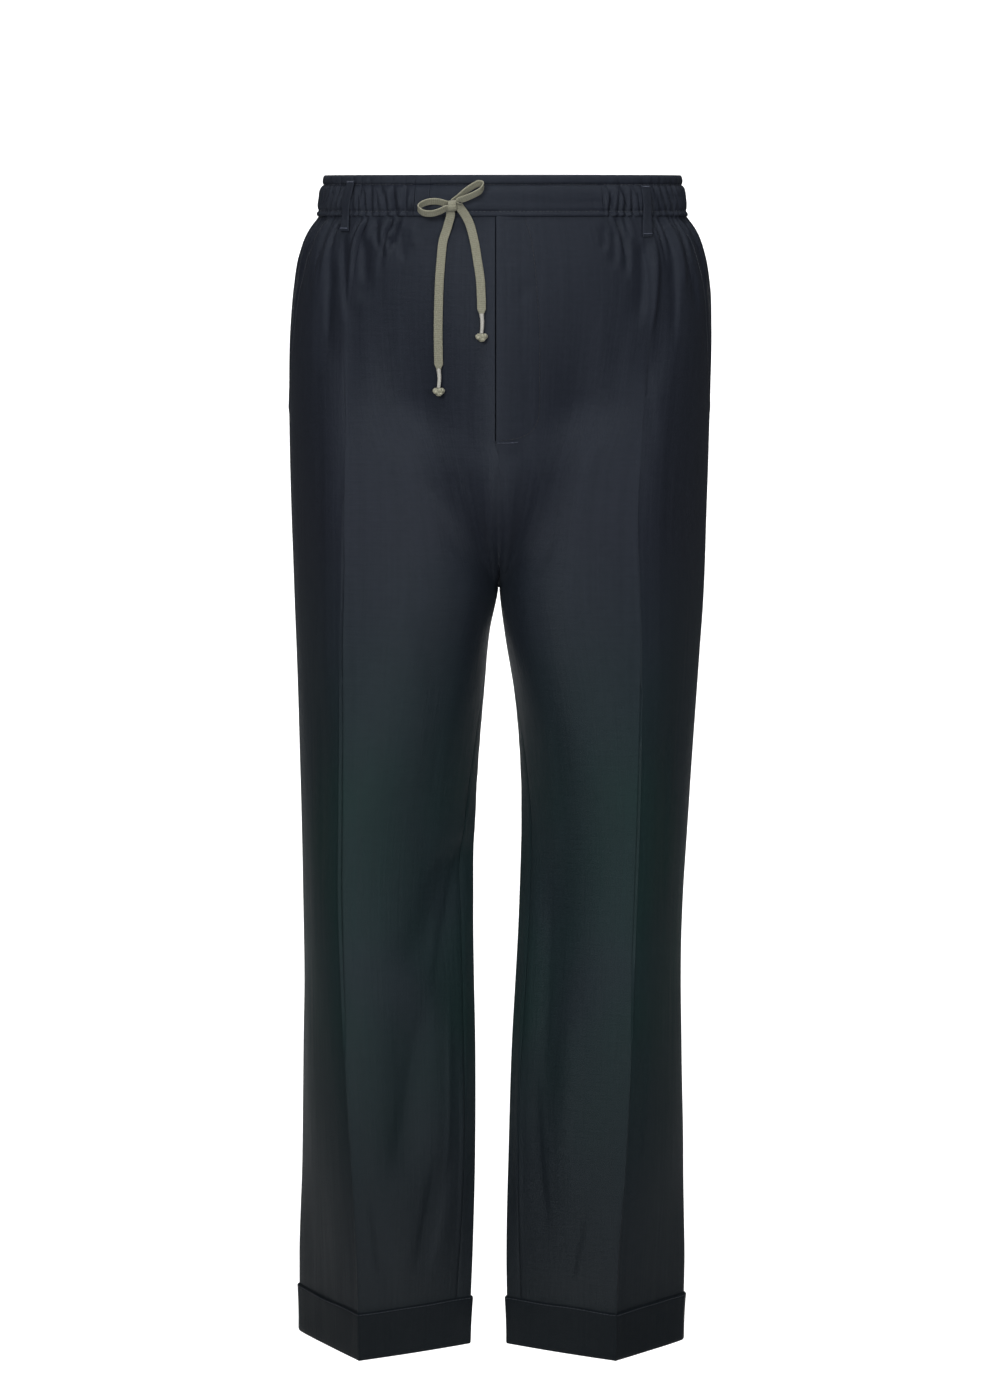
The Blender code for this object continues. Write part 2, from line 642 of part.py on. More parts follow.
def main():
    cloth = make_material("navy cloth", NAVY, 0.55)
    make_panels(cloth)
    make_waistband(cloth)
    make_belt_loops(cloth)
    for side in SIDES:
        make_cuff("cuff_" + side, side, cloth)
    make_drawstring(make_material("khaki braid", KHAKI, 0.85))


for old in list(bpy.data.objects):
    bpy.data.objects.remove(old)
PIECES = bpy.data.collections.new("drawstring trousers")
bpy.context.scene.collection.children.link(PIECES)
main()
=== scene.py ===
# %% [markdown]
# # Drawstring trousers
# Full-length trousers of a dark, silky twill, hollow as when worn. A gathered band with a flat front holds
# a flat braid that is tied in a bow, the legs are pressed to a crease, and the hems are turned up. The
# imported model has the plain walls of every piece. This lesson lays fine cloth over those walls, sews it and
# threads the braid.

# %% Load the plain model, which everything here is fitted to
import math

import bpy
import numpy as np
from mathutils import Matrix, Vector


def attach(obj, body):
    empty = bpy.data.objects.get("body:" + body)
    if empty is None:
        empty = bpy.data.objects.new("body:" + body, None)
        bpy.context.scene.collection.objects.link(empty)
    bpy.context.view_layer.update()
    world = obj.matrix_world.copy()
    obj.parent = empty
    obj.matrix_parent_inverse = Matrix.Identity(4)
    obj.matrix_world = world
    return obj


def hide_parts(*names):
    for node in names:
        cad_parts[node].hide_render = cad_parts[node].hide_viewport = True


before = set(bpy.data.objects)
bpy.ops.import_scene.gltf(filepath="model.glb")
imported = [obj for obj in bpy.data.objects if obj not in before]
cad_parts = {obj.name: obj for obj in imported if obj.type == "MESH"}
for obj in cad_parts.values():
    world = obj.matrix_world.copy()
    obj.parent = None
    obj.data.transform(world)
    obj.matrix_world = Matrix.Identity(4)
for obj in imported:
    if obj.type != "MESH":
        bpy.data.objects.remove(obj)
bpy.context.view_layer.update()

# %% [markdown]
# ## Small sums
# A few sums come back all the time: a smooth step, a bell, vectors of length 1, and a smooth curve through
# the rows of a short table.

# %% Sums that the later cells use
def smoothstep(value):
    """Rises from 0 to 1 as the value does, with level ends: 3 t squared less 2 t cubed."""
    t = np.clip(value, 0.0, 1.0)
    return t * t * (3.0 - 2.0 * t)


def ramp(value, start, end):
    """Rises smoothly from 0 at the start to 1 at the end."""
    return smoothstep((value - start) / (end - start))


def bell(off, width):
    """1 on a line and less beside it: e to the power of minus the square of the distance over the width."""
    return np.exp(-((off / width) ** 2))


def unit(vectors):
    """The same directions with a length of 1."""
    return vectors / np.linalg.norm(vectors, axis=-1, keepdims=True)


def together(*coordinates):
    """Arrays of coordinates that fit each other, as one array of points."""
    return np.stack(np.broadcast_arrays(*coordinates), axis=-1)


def full_turn(count):
    """Angles in even steps, once round."""
    return np.arange(count) / count * 2 * math.pi


def oblong(turn, across, out):
    """An oblong with round ends: the cosine and sine of the turn, each to a power, with its own sign."""
    x, y = np.cos(turn), np.sin(turn)
    return np.sign(x) * np.abs(x) ** across, np.sign(y) * np.abs(y) ** out


def through(knots, values, at):
    """Cubic pieces through the given values, each slope taken from its neighbours."""
    knots, values = np.asarray(knots, dtype=float), np.asarray(values, dtype=float)
    slopes = np.gradient(values, knots)
    at = np.clip(np.asarray(at, dtype=float), knots[0], knots[-1])
    k = np.clip(np.searchsorted(knots, at, side="right") - 1, 0, len(knots) - 2)
    step = knots[k + 1] - knots[k]
    t = (at - knots[k]) / step
    start = (1 + 2 * t) * (1 - t) ** 2 * values[k] + t * (1 - t) ** 2 * step * slopes[k]
    end = t * t * (3 - 2 * t) * values[k + 1] + t * t * (t - 1) * step * slopes[k + 1]
    return start + end


def length_along(points):
    """The length of a line from its first point to each of its points."""
    return np.concatenate([[0.0], np.cumsum(np.linalg.norm(np.diff(points, axis=0), axis=1))])


def resample(table, steps):
    """Even steps along a line through the first two columns: the length so far, then every column."""
    length = length_along(table[:, :2])
    at = np.linspace(0.0, length[-1], steps)
    return (at,) + tuple(through(length, values, at) for values in table.T)


print("halfway from 0 to 1:", float(smoothstep(0.5)))

# %% [markdown]
# ## Sums for shaders
# A finish is a sum of patterns. Written as node links it is hard to read, so a small class holds one number
# that varies over a surface and turns Python sums into Math nodes. Any other node comes from a single
# method.

# %% One class for sums, one for finishes
class Term:
    """A number that varies over a surface. Sums and products with it add Math nodes."""

    def __init__(self, finish, socket):
        self.finish, self.socket = finish, socket

    def maths(self, operation, *others):
        made = self.finish.node("ShaderNodeMath", {"operation": operation}, dict(enumerate((self,) + others)))
        return Term(self.finish, made.outputs[0])

    def __add__(self, other):
        return self.maths("ADD", other)

    def __sub__(self, other):
        return self.maths("SUBTRACT", other)

    def __mul__(self, other):
        return self.maths("MULTIPLY", other)

    def __rsub__(self, other):
        return self * -1.0 + other

    __radd__, __rmul__ = __add__, __mul__


class Finish:
    """One material, whose nodes are made one at a time from a type, settings, and values or links."""

    def __init__(self, name, **constants):
        self.material = bpy.data.materials.new(name)
        self.material.use_nodes = True
        self.tree = self.material.node_tree
        self.shader = self.tree.nodes["Principled BSDF"]
        for key, value in constants.items():
            self.put(self.shader.inputs[key.replace("_", " ")], value)

    def put(self, socket, value):
        value = value.socket if isinstance(value, Term) else value
        if isinstance(value, bpy.types.NodeSocket):
            self.tree.links.new(value, socket)
        else:
            socket.default_value = value

    def node(self, kind, settings=None, sockets=None):
        made = self.tree.nodes.new(kind)
        for key, value in (settings or {}).items():
            setattr(made, key, value)
        for key, value in (sockets or {}).items():
            self.put(made.inputs[key], value)
        return made

    def cloth_place(self):
        """The piece's own map, in metres: across the cloth, and along it."""
        uv = self.node("ShaderNodeUVMap", {"uv_map": "cloth"})
        split = self.node("ShaderNodeSeparateXYZ", {}, {0: uv.outputs[0]})
        return Term(self, split.outputs[0]), Term(self, split.outputs[1])

    def noise(self, x, y, detail=2.0):
        """Smooth noise from 0 to 1 at a place given by two terms, one noise cell to each unit of them."""
        place = self.node("ShaderNodeCombineXYZ", {}, {0: x, 1: y})
        inputs = {"Vector": place.outputs[0], "Scale": 1.0, "Detail": detail}
        made = self.node("ShaderNodeTexNoise", {}, inputs)
        return Term(self, made.outputs[0])

    def blend(self, factor, first, second):
        """A colour between two colours."""
        made = self.node("ShaderNodeMix", {"data_type": "RGBA"}, {"Factor": factor, 6: first, 7: second})
        return made.outputs[2]

    def bump(self, height, distance, strength=1.0):
        """Relief from a height term: the distance is how far a height of 1 stands out, in metres."""
        made = self.node("ShaderNodeBump", {}, {"Height": height, "Distance": distance, "Strength": strength})
        self.put(self.shader.inputs["Normal"], made.outputs[0])


# %% [markdown]
# ## Camera, floor and light
# The garment was photographed from the front with a long lens, a little above the middle and tilted down.
# Setting the camera first fixes what has to look right. A pale floor curves up behind the object, so no
# horizon shows, and large soft lamps give the broad, dim highlights that silky cloth has.

# %% Camera
LENS = 72.5
SENSOR = 24.0
TILT = math.radians(90 - 6.733)
scene = bpy.context.scene
scene.view_settings.view_transform = "Standard"
camera_data = bpy.data.cameras.new("camera")
camera_data.lens = LENS
camera_data.sensor_fit = "VERTICAL"
camera_data.sensor_height = SENSOR
camera = bpy.data.objects.new("camera", camera_data)
camera.location = (-0.0039, -3.6, -0.02)
camera.rotation_euler = (TILT, 0.0, 0.0)
scene.collection.objects.link(camera)
scene.camera = camera
print("camera at", tuple(round(v, 3) for v in camera.location))

# %% Floor that curves up behind, and the lamps
FLOOR_Z = -1.30
FLOOR_BEND = 2.8
WALL_RADIUS = 2.2
GLOW_START, GLOW_END = 0.1, 0.8
level = np.linspace(-0.5, FLOOR_BEND, 34)
path = np.concatenate([level, FLOOR_BEND + np.linspace(0.0, 1.5, 31)[1:] * WALL_RADIUS])
turn = np.clip((path - FLOOR_BEND) / WALL_RADIUS, 0.0, None)
deep = np.minimum(path, FLOOR_BEND) + WALL_RADIUS * np.sin(turn)
high = FLOOR_Z + WALL_RADIUS * (1.0 - np.cos(turn))
across = np.linspace(-1.0, 1.0, 19)[None, :] * (0.75 + 0.6 * np.clip(deep / 4.0, 0.0, 1.0))[:, None]
floor_points = together(across, deep[:, None], high[:, None])
numbers = np.arange(floor_points.shape[0] * floor_points.shape[1]).reshape(floor_points.shape[:2])
floor_quads = np.stack([numbers[:-1, :-1], numbers[:-1, 1:], numbers[1:, 1:], numbers[1:, :-1]], axis=-1)
floor_mesh = bpy.data.meshes.new("floor")
floor_mesh.from_pydata(floor_points.reshape(-1, 3).tolist(), [], floor_quads.reshape(-1, 4).tolist())
floor_mesh.shade_smooth()
floor = bpy.data.objects.new("floor", floor_mesh)
scene.collection.objects.link(floor)
pale = Finish("pale floor", Base_Color=(0.88, 0.88, 0.88, 1.0), Roughness=0.9, Emission_Strength=0.6)
floor_place = pale.node("ShaderNodeTexCoord")
floor_split = pale.node("ShaderNodeSeparateXYZ", {}, {0: floor_place.outputs["Object"]})
depth = {"Value": floor_split.outputs["Y"], "From Min": GLOW_START, "From Max": GLOW_END}
pale.put(pale.shader.inputs["Emission Color"], pale.node("ShaderNodeMapRange", {}, depth).outputs["Result"])
floor_mesh.materials.append(pale.material)

# Each lamp: its name, place, the point it faces, its width and height, and its power
LAMPS = (
    ("key", (-1.1, -3.2, 1.0), (0.0, 0.0, -0.25), 1.2, 1.2, 58.0),
    ("fill", (1.5, -3.3, 0.5), (0.0, 0.0, -0.3), 1.0, 1.2, 34.0),
    ("low", (0.2, -3.7, -0.75), (0.0, 0.0, -0.35), 1.0, 0.7, 11.0),
    ("top", (0.0, -1.0, 2.2), (0.0, 0.0, -0.1), 1.2, 0.6, 16.0),
    ("backdrop", (0.0, 1.8, 3.2), (0.0, 3.6, 0.0), 2.6, 1.5, 150.0),
)
for name, place, target, width, height, power in LAMPS:
    lamp_data = bpy.data.lights.new(name, "AREA")
    lamp_data.shape = "RECTANGLE"
    lamp_data.size, lamp_data.size_y, lamp_data.energy = width, height, power
    lamp = bpy.data.objects.new(name, lamp_data)
    lamp.location = place
    aim = Vector(target) - Vector(place)
    lamp.rotation_euler = aim.to_track_quat("-Z", "Y").to_euler()
    scene.collection.objects.link(lamp)
world = bpy.data.worlds.new("studio")
world.use_nodes = True
world.node_tree.nodes["Background"].inputs["Color"].default_value = (0.95, 0.97, 1.0, 1.0)
world.node_tree.nodes["Background"].inputs["Strength"].default_value = 0.08
scene.world = world
print("lamps:", len(LAMPS))

# %% [markdown]
# ## The finishes
# Twill has fine diagonal ribs, and a silky yarn gives it thin upright streaks that are a little lighter or
# glossier than their neighbours. The braid is dull cotton with ribs along it and a small chevron weave.
# Sewing thread is a shade lighter than the cloth, and the whipping at the braid's ends is pale.

# %% Navy twill
NAVY_DEEP = (0.0115, 0.0140, 0.0225, 1.0)
NAVY_LIGHT = (0.0215, 0.0250, 0.0370, 1.0)
TEAL_DEEP = (0.0045, 0.0200, 0.0180, 1.0)
TEAL_LIGHT = (0.0090, 0.0330, 0.0290, 1.0)
# Near black of the painted shade towards the hems
PAINTED_SHADE_NEAR_BLACK = (0.0035, 0.0060, 0.0072, 1.0)
TWILL_PITCH = 0.0008


def make_twill(name, painted_lightness=0.0, gloss=0.26):
    """The main cloth: colour from long streaks and a slow drift, with painted shade that darkens the lower
    legs towards the hems; relief from the ribs and the streaks.
    """
    sheen = {"Sheen_Weight": 0.02, "Sheen_Roughness": 0.4, "Sheen_Tint": (0.62, 0.74, 0.9, 1.0)}
    twill = Finish(name, Roughness=0.5, **sheen)
    twill.shader.inputs["Specular IOR Level"].default_value = gloss
    twill.shader.inputs["Specular Tint"].default_value = (0.84, 0.94, 1.0, 1.0)
    u, v = twill.cloth_place()
    ribs = ((u + v) * (2 * math.pi / TWILL_PITCH)).maths("SINE")
    streaks = twill.noise(u * 420.0, v * 9.0, 3.0)
    slubs = twill.noise(u * 60.0, v * 420.0, 2.0)
    drift = twill.noise(u * 16.0, v * 6.0, 2.0)
    bands = twill.noise(u * 75.0, v * 2.5, 2.0)
    mottle = twill.noise(u * 260.0, v * 190.0, 3.0)
    tone = streaks * 0.9 + slubs * 0.4 + drift * 0.5 + bands * 0.8 + mottle * 0.4 + (painted_lightness - 0.95)
    down = ((v - 0.30) * 3.5).maths("MAXIMUM", 0.0).maths("MINIMUM", 1.0)
    down = down * ((0.98 - v) * 4.0).maths("MAXIMUM", 0.0).maths("MINIMUM", 1.0)
    navy = twill.blend(tone, NAVY_DEEP, NAVY_LIGHT)
    cloud = twill.noise(u * 9.0, v * 5.0 + 3.0, 2.0)
    teal = twill.blend(tone, TEAL_DEEP, TEAL_LIGHT)
    legs = twill.blend(down * (cloud * 1.6 - 0.1), navy, teal)
    # Painted shade: down the lower legs the colour is blended towards near black, most at the hems.
    low = ((v - 0.66) * 2.6).maths("MAXIMUM", 0.0).maths("MINIMUM", 0.85)
    twill.put(twill.shader.inputs["Base Color"], twill.blend(low, legs, PAINTED_SHADE_NEAR_BLACK))
    twill.put(twill.shader.inputs["Roughness"], 0.36 + streaks * 0.22 + bands * 0.14)
    twill.bump(ribs * 0.35 + streaks * 1.3 + slubs * 0.9 + mottle * 0.9, 0.00018)
    return twill.material


twill = make_twill("navy twill")
# Painted light: the band and the belt loops get a lighter copy of the same twill.
twill_painted_light_on_band = make_twill("navy twill on the band", painted_lightness=0.12)
# Painted shade: the turn-ups get a darker copy of the same twill.
twill_painted_shade_on_hem = make_twill("navy twill on the turn-ups", painted_lightness=-0.2, gloss=0.12)
print("finishes:", twill.name, "and", twill_painted_light_on_band.name, "and", twill_painted_shade_on_hem.name)

# %% Braid, thread and whipping
KHAKI_DARK = (0.140, 0.136, 0.098, 1.0)
KHAKI_LIGHT = (0.46, 0.45, 0.335, 1.0)
BRAID_RIBS = 9
BRAID_WIDTH = 7.2
CHEVRON_PITCH = 0.0016


def make_braid_finish(name, painted_lightness):
    """Khaki cotton: ribs run along the braid, and each carries slanted stitches that turn at the next rib."""
    braid = Finish(name, Roughness=0.85, Sheen_Weight=0.15, Sheen_Roughness=0.5)
    u, v = braid.cloth_place()
    rib = (u * (BRAID_RIBS * 1000.0 / BRAID_WIDTH)).maths("PINGPONG", 0.5) * 2.0
    stitch = (v * (1.0 / CHEVRON_PITCH) + rib * 0.5).maths("PINGPONG", 0.5) * 2.0
    fleck = braid.noise(u * 900.0, v * 500.0, 2.0)
    tone = rib * 0.5 + stitch * 0.35 + fleck * 0.6 + (painted_lightness - 0.12)
    braid.put(braid.shader.inputs["Base Color"], braid.blend(tone, KHAKI_DARK, KHAKI_LIGHT))
    braid.bump(rib * 0.8 + stitch * 0.7 + fleck * 0.5, 0.0004)
    return braid.material


def make_thread(name, dark, light, roughness):
    """Twisted thread: fine slanted bands along its length."""
    thread = Finish(name, Roughness=roughness, Sheen_Weight=0.1)
    u, v = thread.cloth_place()
    strand = (v * 1400.0 + u * 500.0).maths("PINGPONG", 0.5) * 2.0
    fleck = thread.noise(u * 700.0, v * 700.0)
    thread.put(thread.shader.inputs["Base Color"], thread.blend(strand * 0.6 + fleck * 0.4, dark, light))
    thread.bump(strand, 0.0001)
    return thread.material


braid_finish = make_braid_finish("khaki braid", 0.0)
# Painted light: the end knots get a lighter copy of the braid's finish, against their own shade.
knot_finish_painted_light = make_braid_finish("khaki braid in the end knots", 0.45)
thread = make_thread("navy thread", (0.022, 0.027, 0.038, 1.0), (0.052, 0.060, 0.076, 1.0), 0.5)
# Painted shade: the fly's thread is near black, standing for the shade of the stitch holes along the J.
fly_thread_painted_shade = make_thread("dark fly thread", (0.006, 0.008, 0.012, 1.0), (0.020, 0.024, 0.034, 1.0), 0.6)
tack_thread = make_thread("pale tack thread", (0.045, 0.055, 0.085, 1.0), (0.15, 0.17, 0.24, 1.0), 0.45)
whipping_thread = make_thread("pale whipping", (0.34, 0.33, 0.29, 1.0), (0.74, 0.73, 0.68, 1.0), 0.7)
print("finishes:", braid_finish.name, thread.name, whipping_thread.name)

# %% [markdown]
# ## From a grid of points to a piece
# Every new piece is a surface of two parameters. Its points are worked out as one array of rows and
# columns, so a mesh only needs the corner numbers of the squares between them. Cloth gets a second layer
# behind the first and a rim all round, which makes a closed shell as thick as the cloth.

# %% Helpers for meshes
MM = 0.001
UP = np.array([0.0, 0.0, 1.0])


def squares(index, uv, turned=False):
    """Corner numbers of the squares of a grid, and the cloth's own place at each corner."""
    low, high = slice(None, -1), slice(1, None)
    order = [(low, low), (low, high), (high, high), (high, low)]
    order = order[::-1] if turned else order
    quads = np.stack([index[at] for at in order], axis=-1).reshape(-1, 4)
    return quads, np.stack([uv[at] for at in order], axis=-2).reshape(-1, 2)


def add_piece(name, points, parts, material, sharp=60.0, caps=()):
    """A mesh from points in millimetres, squares with their places, and flat end faces."""
    faces = np.concatenate([quads for quads, _ in parts]).tolist() + [list(cap) for cap in caps]
    places = [uv for _, uv in parts] + [np.zeros((len(cap), 2)) for cap in caps]
    mesh = bpy.data.meshes.new(name)
    mesh.from_pydata((np.asarray(points).reshape(-1, 3) * MM).tolist(), [], faces)
    layer = mesh.uv_layers.new(name="cloth")
    layer.data.foreach_set("uv", (np.concatenate(places) * MM).astype(np.float32).ravel())
    mesh.materials.append(material)
    mesh.shade_smooth()
    mesh.set_sharp_from_angle(angle=math.radians(sharp))
    piece = bpy.data.objects.new(name, mesh)
    scene.collection.objects.link(piece)
    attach(piece, "root")
    return piece


print("helpers: squares and add_piece")

# %% Shells, tubes and rings of a grid of points
def grid_normals(points, ring=False):
    """Unit vectors square to a grid: the step along its rows crossed with the step down its columns."""
    if ring:
        across = np.roll(points, -1, axis=1) - np.roll(points, 1, axis=1)
    else:
        across = np.gradient(points, axis=1)
    normal = np.cross(across, np.gradient(points, axis=0))
    return normal / np.maximum(np.linalg.norm(normal, axis=-1, keepdims=True), 1e-9)


def shell(name, outer, uv, thickness, material, ring=False):
    """Cloth of the given thickness behind a grid of points, closed by a rim. A ring's columns join up."""
    inner = outer - grid_normals(outer, ring) * thickness
    rows, columns = outer.shape[:2]
    index = np.arange(rows * columns).reshape(rows, columns)
    if ring:
        index = np.concatenate([index, index[:, :1]], axis=1)
    behind = index + rows * columns
    parts = [squares(index, uv), squares(behind, uv, turned=True)]
    rims = [(index[:1], behind[:1], uv[:1], True), (index[-1:], behind[-1:], uv[-1:], False)]
    if not ring:
        rims.append((index[:, :1].T, behind[:, :1].T, uv[:, :1].transpose(1, 0, 2), False))
        rims.append((index[:, -1:].T, behind[:, -1:].T, uv[:, -1:].transpose(1, 0, 2), True))
    for front, back, places, turned in rims:
        both = np.concatenate([front, back])
        parts.append(squares(both, np.concatenate([places, places]), turned))
    return add_piece(name, np.concatenate([outer.reshape(-1, 3), inner.reshape(-1, 3)]), parts, material)


def tube(name, rings, uv, material, sharp=60.0, turned=False):
    """A closed body through rings of points, one after another, with a flat face on each end."""
    rows, columns = rings.shape[:2]
    index = np.arange(rows * columns).reshape(rows, columns)
    caps = [index[0][::-1], index[-1]] if turned else [index[0], index[-1][::-1]]
    index = np.concatenate([index, index[:, :1]], axis=1)
    return add_piece(name, rings, [squares(index, uv, turned)], material, sharp, caps)


def closed_ring(name, points, uv, material):
    """A surface that joins up both ways, like a torus: rows and columns both come back to their start."""
    rows, columns = points.shape[:2]
    index = np.arange(rows * columns).reshape(rows, columns)
    index = np.concatenate([index, index[:, :1]], axis=1)
    index = np.concatenate([index, index[:1]], axis=0)
    return add_piece(name, points, [squares(index, uv)], material)


print("helpers: grid_normals, shell, tube and closed_ring")

# %% [markdown]
# ## The drawstring
# A flat braid comes out of the band, is tied in a bow and hangs in two tails, each whipped with thread and
# knotted. A cord is a profile carried along a route: a list of given points, with a smooth curve through
# them. A flat braid needs one thing more, the direction of its width at each point, so that it can
# twist.

# %% Routes of the two strings, in millimetres: distance from the middle, depth and drop
LOOP_ACROSS = (0.0, -0.7, 0.7)
TAIL_ACROSS = (1.0, 0.0, 0.0)
LOOPS = {
    "right": (
        (-39.6, -102.6, 25.4), (-43.6, -103.6, 24.4), (-50.0, -103.4, 22.6), (-58.0, -103.6, 22.6),
        (-64.0, -104.8, 24.6), (-67.2, -107.0, 27.8), (-64.0, -109.2, 31.2), (-57.0, -110.4, 32.4),
        (-50.0, -110.4, 30.8), (-43.6, -109.4, 28.2),
    ),
    "left": (
        (-38.4, -102.6, 22.6), (-34.4, -103.2, 19.4), (-28.4, -103.2, 14.2), (-22.0, -103.4, 10.0),
        (-16.6, -104.6, 7.6), (-13.2, -107.0, 8.6), (-14.6, -109.4, 12.6), (-20.6, -110.4, 16.6),
        (-27.0, -110.4, 19.4), (-34.0, -109.4, 22.6),
    ),
}
TAILS = {
    "right": (
        (-40.6, -105.4, 30.9), (-42.6, -104.2, 42.0), (-46.4, -105.2, 54.0), (-48.4, -107.0, 71.0),
        (-49.6, -108.4, 87.0), (-50.3, -108.8, 104.0), (-50.8, -108.0, 128.0), (-50.7, -107.0, 145.0),
        (-50.4, -105.6, 161.5),
    ),
    "left": (
        (-32.0, -106.4, 28.2), (-29.2, -105.6, 32.0), (-25.8, -105.2, 38.0), (-21.0, -107.2, 54.0),
        (-18.2, -109.6, 70.0), (-15.7, -112.4, 87.0), (-14.8, -114.4, 103.0), (-14.6, -115.8, 115.6),
    ),
}
TIPS = {"right": ((-50.4, -105.4, 161.8), 14.2), "left": ((-14.6, -116.2, 115.9), 14.6)}
BRAID_THICKNESS = 1.4
BRAID_SECTION = 32
BRAID_STEP = 0.9


def route_frames(route, across):
    """Points a step apart on the smooth route, with the unit vectors ahead, across and out of the face."""
    points = np.array(route, dtype=float) * (1.0, 1.0, -1.0)
    length = length_along(points)
    at = np.linspace(0.0, length[-1], int(length[-1] / BRAID_STEP))
    middle = np.stack([through(length, values, at) for values in points.T], axis=1)
    width = np.stack([np.interp(at, length, values) for values in np.array(across, dtype=float).T], axis=1)
    ahead = unit(np.gradient(middle, at, axis=0))
    width = unit(width - ahead * (ahead * width).sum(1, keepdims=True))
    return middle, ahead, width, np.cross(ahead, width), at


def braid_profile(columns):
    """Half width and half thickness round a flat braid: an oblong with round ends and ribs on its faces."""
    x, y = oblong(full_turn(columns), 0.45, 0.75)
    ribs = 1.0 - 0.10 * np.cos(x * BRAID_RIBS * math.pi) - 0.22 * bell(x, 0.09)
    return x, y * ribs


def make_string(side):
    """One end of the braid: from behind the knot round its loop, through the knot and down its tail."""
    route = LOOPS[side] + TAILS[side]
    across = [LOOP_ACROSS] * len(LOOPS[side]) + [TAIL_ACROSS] * len(TAILS[side])
    middle, ahead, width, face, at = route_frames(route, across)
    x, y = braid_profile(BRAID_SECTION)
    left_over = at[-1] - at
    full = smoothstep(left_over / 5.0)
    narrow = 0.55 + 0.45 * full
    thick = 1.0 + 0.9 * (1.0 - full)
    rings = (
        middle[:, None]
        + width[:, None] * (narrow[:, None] * x * BRAID_WIDTH / 2)[..., None]
        + face[:, None] * (thick[:, None] * y * BRAID_THICKNESS / 2)[..., None]
    )
    over = np.append(x, x[0]) * BRAID_WIDTH / 2
    uv = together(over[None, :], at[:, None])
    piece = tube("string_" + side, rings, uv, braid_finish)
    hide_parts("loop_" + side, "tail_" + side)
    return piece, middle * MM, float(at[-1]) * MM


strings = {side: make_string(side) for side in ("right", "left")}
for side, (_, _, length) in strings.items():
    print(side, "string, metres:", round(length, 3))

# %% [markdown]
# The knot of the bow is the braid's own turn round both loops: a ring of braid, seen face on. Under each
# tail the braid is bound with pale thread, which is a tube with fine turns raised on it, and ends in an
# overhand knot, which is a trefoil curve with a round profile carried along it.

# %% Knot, whippings and end knots
KNOT_MIDDLE = (-39.0, -106.0, 26.0)
KNOT_DEPTH, KNOT_HEIGHT, KNOT_WIDTH = 4.9, 4.2, 7.9
END_KNOT = (10.4, 6.4, 7.8)
END_KNOT_STRAND = 1.75
WHIPPING_RADIUS = 1.65
THREAD_PITCH = 0.9


def make_bow_knot():
    """A ring of braid round the bow's middle: an ellipse from front to back, as wide as the braid."""
    turn = full_turn(48)
    x, y = braid_profile(BRAID_SECTION)
    pull = 1.0 - 0.16 * np.cos(turn - 0.6) ** 2
    out = together(0.0, -np.cos(turn), np.sin(turn))
    size = np.array([1.0, KNOT_DEPTH, KNOT_HEIGHT])
    centre = np.array(KNOT_MIDDLE) * (1.0, 1.0, -1.0)
    wide = np.array([1.0, 0.0, 0.12])
    bow = 1.0 - 0.14 * x**2
    points = (
        centre
        + out[:, None] * size * bow[None, :, None]
        + out[:, None] * (y * 0.8)[None, :, None]
        + wide * (pull[:, None] * x * KNOT_WIDTH / 2)[..., None]
    )
    over = np.append(x, x[0]) * KNOT_WIDTH / 2
    along_ring = np.linspace(0.0, 2 * math.pi, 49) * KNOT_HEIGHT
    uv = together(over[None, :], along_ring[:, None])
    piece = closed_ring("bow_wrap", points[::-1], uv[::-1], braid_finish)
    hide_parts("bow_knot")
    return piece


print("middle of the knot:", KNOT_MIDDLE)

# %% Whippings
def make_whipping(side):
    """Turns of thread round the braid's end: a tube whose radius swells once a turn, slanted like a helix."""
    (x, y, drop), length = TIPS[side]
    rows, columns = 140, 20
    down = np.linspace(-1.2, length + 0.6, rows)[:, None]
    turn = full_turn(columns)[None, :]
    turns = np.cos(turn - 2 * math.pi * down / THREAD_PITCH)
    swell = WHIPPING_RADIUS + 0.16 * turns + 0.25 * bell(down, 1.5) - 0.2 * smoothstep(down / length)
    bend = 0.5 * np.sin(down / length * math.pi)
    rings = together(x + bend + swell * np.cos(turn), y + swell * 0.9 * np.sin(turn), -(drop + down))
    uv = together(np.append(turn[0], 2 * math.pi)[None, :] * WHIPPING_RADIUS, down)
    piece = tube("whipped_end_" + side, rings, uv, whipping_thread, turned=True)
    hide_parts("whipping_" + side)
    return piece


print("turns of thread on a whipping, each", THREAD_PITCH, "mm")

